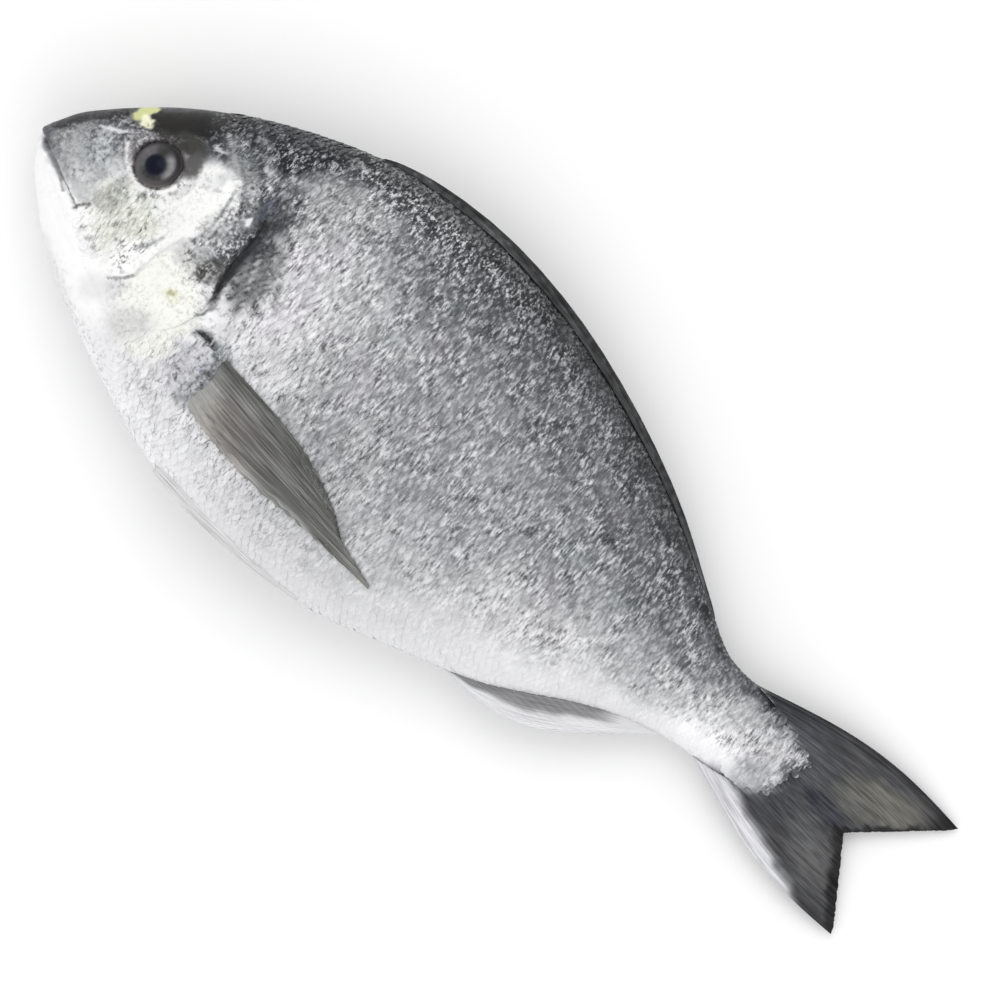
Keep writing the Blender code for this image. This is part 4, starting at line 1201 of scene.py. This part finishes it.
def brick_pattern(x_range, y_range, pitch):
    """Places in staggered rows."""
    places = []
    row_gap = 0.95 * pitch
    for row, y in enumerate(np.arange(y_range[0], y_range[1], row_gap)):
        x = np.arange(x_range[0], x_range[1], pitch) + 0.5 * pitch * (row % 2)
        places.append(np.stack([x, np.full(len(x), y)], axis=1))
    return np.concatenate(places)


def head_height(x, y, side):
    return flank_height(x, y, side) + side * head_lift(x, y)


def tail_height(x, y, side):
    """The height that scales on the tail's root stand on."""
    inside = flank_height(np.minimum(x, BODY_LENGTH - 0.5), y, side)
    fin = midplane(x) + side * (tail_half_thickness(x) + tail_swell(x, y) + 0.1)
    return np.maximum(inside, fin) if side > 0 else np.minimum(inside, fin)


def make_head_scales(name, side, material):
    """Small scales on the cheek and on the upper part of the gill cover."""
    places = brick_pattern((24.0, 64.0), (-19.0, 25.0), CHEEK_PITCH)
    x, y = places.T
    on_cheek = (oval(x, y, (34.0, -6.0), (12.5, 10.0), 28) < 1) & (x < cheek_edge(y) - 1.2)
    on_gill = (x > cheek_edge(y) + 3.0) & (x < gill_edge(y) - 1.2) & (y > -8.0 - 0.3 * (x - 45))
    clear = np.hypot(x - EYE_CENTRE[0], y - EYE_CENTRE[1]) > 9.5
    x, y = places[(on_cheek | on_gill) & clear].T
    heading = np.where(x < cheek_edge(y), np.radians(-18.0), np.radians(-8.0))
    centres = np.stack([x, y, heading], axis=1)
    make_flat_scales(name, centres, np.full(len(x), CHEEK_PITCH), side, head_height, 0.55, material, 41)


def make_tail_scales(name, side, material):
    """Small scales that run out on to the tail fin with a ragged edge."""
    places = brick_pattern((LAST_SCALE - 2.0, 266.0), (-12.0, 16.0), TAIL_PITCH)
    x, y = places.T
    ragged = scaled_tail(y) + 1.4 + 1.2 * cloud(x, y, 1.6, 51) + 0.8 * cloud(x, y, 4.0, 52)
    low = belly(np.minimum(x, BODY_LENGTH)) + 1.6 + 3.0 * ease((x - 249.0) / 10.0)
    x, y = places[(x < ragged) & (y > low) & (y < 13.6)].T
    centres = np.stack([x, y, np.zeros(len(x))], axis=1)
    sizes = TAIL_PITCH * (1 - 0.25 * ease((x - 250.0) / 12.0))
    make_flat_scales(name, centres, sizes, side, tail_height, 0.34, material, 43)


# ---- eyes ----
def make_eye(name, node, side, material):
    """The eyeball: an iris round a round pupil, under a low clear bulge."""
    x, y = EYE_CENTRE
    normal = np.array(flank_normal(np.array(x), np.array(y), side), float)
    centre = np.array([x, y, float(flank_height(np.array(x), np.array(y), side))]) - normal * EYE_SINK
    rearward = np.array([1.0, 0.0, 0.0]) - normal * normal[0]
    rearward /= np.linalg.norm(rearward)
    turn = np.stack([rearward, np.cross(normal, rearward), normal], axis=1)
    mesh = ball(name, *EYE_GRID)[0]
    co = positions(mesh)
    bulge = CORNEA_BULGE * np.exp(-(co[:, 0] ** 2 + co[:, 1] ** 2) / 0.35)
    deep = co[:, 2] * (EYE_HALF_DEPTH + bulge)
    local = np.stack([co[:, 0] * EYE_RADIUS, co[:, 1] * EYE_RADIUS, deep], axis=1)
    colours = eye_colour(local[:, 0] - PUPIL_OFFSET[0], local[:, 1] * side - PUPIL_OFFSET[1])
    piece = finish_piece(mesh, local @ turn.T + centre, colours, material, "eye")
    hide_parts(node)


def eye_colour(x, y):
    """A blue-black pupil, a dusky iris with a painted highlight crescent behind it, and a dark ring round
    them, at places measured from the pupil's middle."""
    r, angle = np.hypot(x, y), np.arctan2(y, x)
    out_x, out_y = x + PUPIL_OFFSET[0], y + PUPIL_OFFSET[1]
    outer = np.hypot(out_x, out_y)
    rearward, upward = out_x / np.maximum(outer, 1e-6), out_y / np.maximum(outer, 1e-6)
    pupil = grey(np.full(len(r), 20.0), (0.85, 1.05, 1.7))
    lumps = 7 * np.sin(9 * angle + 2.0) * np.sin(5 * angle)
    # painted highlight: a light crescent on the iris
    crescent = ease((np.cos(angle - 0.45) - 0.45) / 0.45) * bump_at(r - 4.2, 1.3)
    glow = ease((-np.cos(angle + 0.1) - 0.3) / 0.6)
    iris = grey(58 + 76 * crescent + 34 * glow + lumps, (1.0, 1.0, 1.02))
    ring = grey(58 - 22 * ease(upward) + 22 * ease(-upward) + 22 * ease(-rearward), (1.02, 0.99, 0.99))
    lid = grey(84 + 30 * ease(-1.4 * upward), (1.02, 0.99, 0.98))
    colour = blend(pupil, iris, ease((r - 2.1) / 1.3))
    colour = blend(colour, ring, ease((outer - 4.5) / 0.9))
    return blend(colour, lid, ease((outer - 5.7) / 0.6))


# ---- fins ----
def rays(t, count, sharpness=2.0):
    """A ridge for each of `count` rays: 1 on the ray, 0 midway between two."""
    return (0.5 + 0.5 * np.cos(2 * math.pi * count * t)) ** sharpness


def tail_half_thickness(x):
    """Half the tail fin's thickness, which thins out towards its rear edge."""
    s = ease((x - STALK_END) / (TAIL_UPPER_TIP[0] - STALK_END))
    return TAIL_ROOT_THICKNESS + (TAIL_EDGE_THICKNESS - TAIL_ROOT_THICKNESS) * s


def tail_swell(x, y):
    """How much thicker the tail is where it grows out of the stalk."""
    centre = ridge(BODY_LENGTH)
    half = np.where(y > centre, back(STALK_END) - centre, centre - belly(STALK_END))
    ahead = (x - STALK_END) / (BODY_LENGTH - STALK_END)
    out = np.hypot(ahead, (y - centre) / half)
    return 2.0 * ease(1 - (out - 0.95) / 0.4) * np.sqrt(np.clip(ahead / np.maximum(out, 1e-6), 0, 1))


def make_tail_fin(material):
    """The forked tail: rays that branch twice on their way to a thin ragged edge."""
    mesh, s, t, face = sheet("caudal_fin_rayed", *TAIL_GRID)
    reach = BODY_LENGTH - STALK_END
    centre = ridge(BODY_LENGTH)
    up, down = back(STALK_END) - centre, centre - belly(STALK_END)
    angle = t * math.pi / 2
    root_x = STALK_END - 1.0 + reach * np.cos(angle)
    root_y = centre + np.where(t > 0, up, down) * np.sin(angle)
    upper = t > 0
    tip_x = np.where(upper, TAIL_UPPER_TIP[0], TAIL_LOWER_TIP[0])
    tip_y = np.where(upper, TAIL_UPPER_TIP[1], TAIL_LOWER_TIP[1])
    rear_x = TAIL_FORK[0] + (tip_x - TAIL_FORK[0]) * np.abs(t)
    rear_y = TAIL_FORK[1] + (tip_y - TAIL_FORK[1]) * np.abs(t)
    frayed = TAIL_FRAY * (1 - rays(t, TAIL_RAYS[2], 0.6) + cloud(t * 40, 0 * t, 1.0, 61))
    rear_x = rear_x - np.maximum(frayed, 0.0) * ease(s) * ease((1 - np.abs(t)) * 8)
    rear_x = rear_x - 0.7 * ease((np.abs(t) - 0.9) / 0.1)
    bow = np.where(upper, *TAIL_BOW) * np.sin(math.pi * s ** 1.1) * t * np.abs(t)
    x = root_x + (rear_x - root_x) * s
    y = root_y + (rear_y - root_y) * s + bow
    fork = ease((s - 0.30) / 0.15)
    fork_again = ease((s - 0.62) / 0.15)
    first, second, third = (rays(t, count) for count in TAIL_RAYS)
    ridges = first * (1 - fork) + second * fork * (1 - fork_again) + third * fork_again
    half = tail_half_thickness(x) * (0.66 + 0.4 * ridges * (1 - 0.3 * s))
    rim = np.minimum(1.0, np.minimum((1 - s) * 14, (1 - np.abs(t)) * 10 + 0.25))
    half = half * (0.35 + 0.65 * rim) + tail_swell(x, y)
    z = midplane(x) + face * half + 0.5 * ease(s) * cloud(x, y, 12.0, 62)
    points = np.stack([x, y, z], axis=1)
    keep_off_table(points, FIN_TABLE_GAP + FIN_LEAST_THICKNESS * (face > 0))
    from_rear = (1 - s) * (rear_x - root_x)
    piece = finish_piece(mesh, points, tail_colour(x, y, s, t, ridges, from_rear), material, "dark_fin",
                         ray=ridges)
    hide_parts("caudal_fin")


def tail_colour(x, y, s, t, ridges, from_rear):
    """Dark grey membrane with lighter clouds, a black rear margin and a pale lower edge."""
    colour = grey(76 + 9 * cloud(x, y, 5.0, 63), (0.99, 0.995, 1.03))
    colour = blend_spots(colour, x + 1.5 * cloud(x, y, 4.0, 70), y + cloud(x, y, 3.0, 71), TAIL_SPOTS)
    colour = colour + grey(5 * (ridges - 0.4) + 11 * cloud(x / 2, y * 2.4, 2.0, 72))
    colour = blend(colour, TAIL_BY_SCALES, 1 - tail_begins(x, y))
    upper = t > 0
    margin = from_rear + 1.2 * cloud(x, y, 2.0, 73)
    dark = np.where(upper, ease((2.4 - margin) / 2.0), ease((5.4 - margin) / 4.0))
    dark = np.maximum(dark, 0.5 * ease((t - 0.84) / 0.16))
    dark = np.maximum(dark, 0.5 * ease((-0.86 - t) / 0.14) * ease((s - 0.55) / 0.2))
    dark = np.maximum(dark, ease((x - 293.0) / 8.0) * upper)
    colour = blend(colour, TAIL_MARGIN, 0.94 * dark)
    pale = ease((tail_pale(y) - x + 2.0 * cloud(x, y, 3.0, 74)) / 12.0 + 0.5) * ease((-7.4 - y) / 2.6)
    return blend(colour, TAIL_PALE, pale)


def make_dorsal_fin(material):
    """The folded dorsal fin: a low dark strip on the back, its spines laid down one behind another."""
    mesh, s, across, height = ball("dorsal_fin_folded", *DORSAL_GRID)
    first, last = DORSAL_FIN
    x = first + (last - first) * s
    fade = np.sin(math.pi * np.clip(s, 0, 1) ** 0.8) ** 0.5
    sink = 0.2
    root = ridge(x) + section(x)[1] - sink
    rise = (np.maximum(height, -0.2) + 0.2) / 1.2
    laid = (x - SPINE_SLANT * rise) / SPINE_SPACING + 0.3 * np.sign(across)
    spine = rays(laid, 1.0, 3.0)
    half = DORSAL_HALF_THICKNESS * fade * (1 - 0.35 * rise) * (0.86 + 0.16 * spine)
    y = root + (DORSAL_HEIGHT + sink) * fade * rise * (0.98 + 0.02 * spine)
    points = np.stack([x, y, midplane(x) + across * half], axis=1)
    lines = cloud(x / 12.0, (y - root) * 1.6 + x / 9.0, 1.0, 64)
    ragged = cloud(x, y, 1.3, 78)
    flecks = ease(cloud(x, y, 0.9, 80) - 0.2) * ease((136.0 - x) / 45.0) * ease((1.0 - rise) / 0.5)
    level = 28 + 44 * ease(1.1 - rise + 0.3 * ragged) + 12 * spine + 24 * lines + 8 * ragged + 66 * flecks
    piece = finish_piece(mesh, points, grey(level, (0.99, 1.0, 1.02)), material, "dark_fin", ray=spine)
    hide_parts("dorsal_fin")


def make_anal_fin(material):
    """The anal fin: dark slanted rays by the belly and a pale edge."""
    mesh, s, t, face = sheet("anal_fin_folded", *ANAL_GRID)
    first, last = ANAL_FIN
    x = first + (last - first) * s
    fade = np.sin(math.pi * np.clip(s, 0.005, 0.995)) ** 1.2
    sink = 0.3
    root = ridge(x) - section(x)[2] + sink
    drop = (t + 1) / 2
    ray = rays((x - RAY_SLANT * drop) / RAY_SPACING, 1.0, 2.0)
    ragged = 1 - 0.03 * (1 - ray) * ease((drop - 0.6) / 0.4) + 0.04 * cloud(x, 0 * x, 7.0, 76)
    y = root - (ANAL_HEIGHT + sink) * fade * drop * ragged
    half = ANAL_HALF_THICKNESS * np.minimum(fade * 2, 1.0) * (1 - 0.75 * drop) * (0.88 + 0.14 * ray)
    points = np.stack([x + 3.0 * drop * fade, y, midplane(x) + face * half], axis=1)
    keep_off_table(points, FIN_TABLE_GAP + FIN_LEAST_THICKNESS * (face > 0))
    band = ease((0.60 + 0.08 * cloud(x, y, 5.0, 65) - drop) / 0.28) * ease((217.5 - x) / 9.0)
    streak = cloud(x / 6.0, drop * 9.0 + x / 14.0, 1.0, 77)
    colour = grey(234 - 88 * band + (10 * streak - 8 * (1 - ray)) * band, (1.0, 1.0, 1.01))
    piece = finish_piece(mesh, points, colour, material, "grey_fin", ray=ray)
    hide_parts("anal_fin")


def make_pectoral_fin(name, side, material):
    """A pectoral fin folded back on the flank: rays that end one after another along its upper edge."""
    mesh, s, t, face = sheet(name + "_folded", *PECTORAL_GRID)
    first, last = PECTORAL_TOP[0][0], PECTORAL_TOP[-1][0]
    x = first + (last - first) * s
    top, bottom = pectoral_top(x), pectoral_bottom(x)
    blunt = round_off(s, 0.03)
    y = (top + bottom) / 2 + t * blunt * (top - bottom) / 2
    slope = (y - RAYS_MEET[1]) / (RAYS_MEET[0] - x)
    ray = rays(slope / RAY_ANGLE, 1.0, 1.2)
    fine = rays(slope / RAY_ANGLE + 0.3, 3.0, 1.0)
    behind = ease((x - 92.0) / 22.0)
    y += 1.3 * (ray - 1.0) * ease((t - 0.4) / 0.6) * behind * ease((1 - s) * 9)
    y += 0.5 * (1 - fine) * ease((-0.5 - t) / 0.5) * ease((s - 0.05) / 0.2) * ease((1 - s) * 9)
    edge = ease((1 - np.abs(t)) * 7)
    lift = 0.15 + 0.55 * (1 - 0.6 * s) * edge * (0.6 + 0.28 * ray + 0.12 * fine)
    from_front = s + 0.01 * cloud(x, y, 1.5, 76)
    lift = (PECTORAL_GAP + lift + PECTORAL_SINK) * ease(from_front / 0.07) - PECTORAL_SINK
    lift = np.where(face > 0, lift, np.minimum(PECTORAL_GAP - 0.3, lift - 0.15))
    points = np.stack([x, y, flank_height(x, y, side) + side * lift], axis=1)
    keep_off_table(points, FIN_TABLE_GAP)
    colour = pectoral_colour(x, y, s, t, slope / RAY_ANGLE, ray)
    piece = finish_piece(mesh, points, colour, material, "grey_fin", ray=0.6 * ray + 0.4 * fine)
    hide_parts(name)


def pectoral_colour(x, y, s, t, number, ray):
    """Streaked grey membrane, paler along its lower edge and by its root, and faintly warm there. A place's
    `number` says which ray it is on."""
    level = 108 + 24 * cloud(x / 9.0, number * 2.1, 1.0, 67) + 18 * cloud(x / 5.0, number * 5.0, 1.0, 75)
    level = level + 12 * (ray - 0.5) - 12 * ease((t - 0.5) / 0.5) + 20 * ease((s - 0.7) / 0.25)
    level = level + 18 * ease((0.4 - s) / 0.3) * ease((0.35 - t) / 0.5)
    level = level + (24 + 26 * ease((0.75 - s) / 0.3)) * ease((-0.55 - t) / 0.4)
    level = level + 34 * ease((-0.2 - t) / 0.6) * ease((0.17 - s) / 0.14)
    fleshy = ease((0.12 + 0.02 * cloud(x, y, 1.6, 79) - s) / 0.07) * ease((0.9 - t) / 0.4)
    level = blend(level, 134, fleshy)
    pale_corner = ease((0.19 + 0.03 * cloud(x, y, 1.2, 81) - s) / 0.16) * ease((0.42 - t) / 0.34)
    level = blend(level, 176, 0.85 * pale_corner)
    warm = ease((0.5 - s) / 0.3) * ease((0.5 - t) / 0.6) * (1 - fleshy)
    return blend(grey(level, (1.0, 1.0, 0.98)), grey(level, (1.02, 0.995, 0.965)), warm)


def make_pectoral_root(name, side, material):
    """The fleshy lobe that a pectoral fin grows from."""
    mesh = ball(name, *PECTORAL_ROOT_GRID)[0]
    co = positions(mesh)
    length, width, thickness = PECTORAL_ROOT_RADII
    x = PECTORAL_ROOT[0] + length * co[:, 0]
    y = PECTORAL_ROOT[1] + width * co[:, 1] + 0.12 * (x - PECTORAL_ROOT[0])
    lift = (thickness + 0.15 * cloud(x, y, 2.2, 68)) * co[:, 2]
    points = np.stack([x, y, flank_height(x, y, side) + side * lift], axis=1)
    keep_off_table(points, FIN_TABLE_GAP)
    finish_piece(mesh, points, skin_colour(x, y), material, "skin", **looks_at(x, y))


def make_pelvic_fin(name, side, material):
    """A pelvic fin folded back along the belly."""
    mesh, s, across, height = ball(name + "_folded", *PELVIC_GRID)
    first, last = PELVIC_FIN
    x = first + (last - first) * s
    fade = np.sin(math.pi * np.clip(s, 0.0, 1.0) ** 0.55) ** 0.7
    turn = across * PELVIC_HALF_WIDTH * fade / BELLY_ARC
    angle = side * (math.radians(PELVIC_ANGLE) + turn)
    ray = rays(across, 4.0, 1.5)
    crown = np.maximum(height, 0.0) * (1 - 0.5 * s) * (0.9 + 0.1 * ray)
    lift = np.where(height > 0, (PELVIC_THICKNESS + 0.45) * crown - 0.2, -0.45)
    base = skin_point(x, angle)
    points = base + skin_normal(x, angle) * lift[:, None]
    keep_off_table(points, TABLE_GAP)
    colour = grey(228 - 5 * (1 - ray) + 5 * cloud(x, across * 4, 3.0, 69))
    piece = finish_piece(mesh, points, colour, material, "pale_fin", ray=ray)
    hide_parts(name)


# ---- the setting ----
def make_floor():
    bm = bmesh.new()
    bmesh.ops.create_grid(bm, x_segments=2, y_segments=2, size=FLOOR_REACH)
    bmesh.ops.translate(bm, verts=bm.verts, vec=(0, 0, CAD_LOW.z - FLOOR_DROP))
    floor = bpy.data.objects.new("floor", mesh_of("floor", bm))
    bpy.context.scene.collection.objects.link(floor)
    material = new_material("pale_floor", Base_Color=(0.94, 0.94, 0.94, 1), Roughness=0.9)[0]
    floor.data.materials.append(material)


def make_light(name, place, size, power):
    """A round soft light that faces the fish."""
    data = bpy.data.lights.new(name, "AREA")
    data.shape = "DISK"
    data.size = size
    data.energy = power
    light = bpy.data.objects.new(name, data)
    light.location = place
    light.rotation_euler = (-Vector(place)).to_track_quat("-Z", "Y").to_euler()
    bpy.context.scene.collection.objects.link(light)


def make_backdrop():
    backdrop = bpy.data.worlds.new("studio")
    backdrop.use_nodes = True
    glow = backdrop.node_tree.nodes["Background"]
    glow.inputs["Color"].default_value = (1.0, 1.0, 1.0, 1)
    glow.inputs["Strength"].default_value = BACKDROP_STRENGTH
    bpy.context.scene.world = backdrop
    bpy.context.scene.view_settings.view_transform = "Standard"


def make_camera():
    """A camera straight above the fish, turned so that the fish lies slantwise."""
    data = bpy.data.cameras.new("camera")
    data.lens = CAMERA_LENS
    data.sensor_width = CAMERA_SENSOR
    data.clip_start, data.clip_end = 0.01, 20.0
    camera = bpy.data.objects.new("camera", data)
    aim = world([[*CAMERA_AIM, CAMERA_LEVEL]])[0]
    camera.location = Vector(aim) + Vector((0, 0, CAMERA_DISTANCE))
    camera.rotation_euler = (0, 0, math.radians(CAMERA_ROLL))
    bpy.context.scene.collection.objects.link(camera)
    bpy.context.scene.camera = camera


def make_setting():
    make_floor()
    make_light("key_light", *KEY_LIGHT)
    make_light("fill_light", *FILL_LIGHT)
    make_backdrop()
    make_camera()


def make_fish():
    flecks, grain = flecks_and_glints_group(), grain_group()
    skin = skin_material(flecks, grain)
    silver = scale_material(flecks, grain)
    fin = fin_material(grain, "fin_membrane", 60.0)
    eye = eye_material()
    make_skin(skin)
    make_tail_fin(fin)
    make_dorsal_fin(fin)
    make_anal_fin(fin)
    for word, side in (("left", 1), ("right", -1)):
        make_plate("gill_cover_" + word, gill_edge, GILL_PLATE, gill_plate_lift, side, skin)
        make_plate("cheek_" + word, cheek_edge, CHEEK_PLATE, cheek_plate_lift, side, skin)
        make_scales("scales_" + word, side, silver)
        make_head_scales("head_scales_" + word, side, silver)
        make_tail_scales("tail_scales_" + word, side, silver)
        make_eye("eyeball_" + word, "eye_" + word, side, eye)
        make_pectoral_fin("pectoral_fin_" + word, side, fin)
        make_pectoral_root("pectoral_root_" + word, side, skin)
        make_pelvic_fin("pelvic_fin_" + word, side, fin)


make_fish()
make_setting()
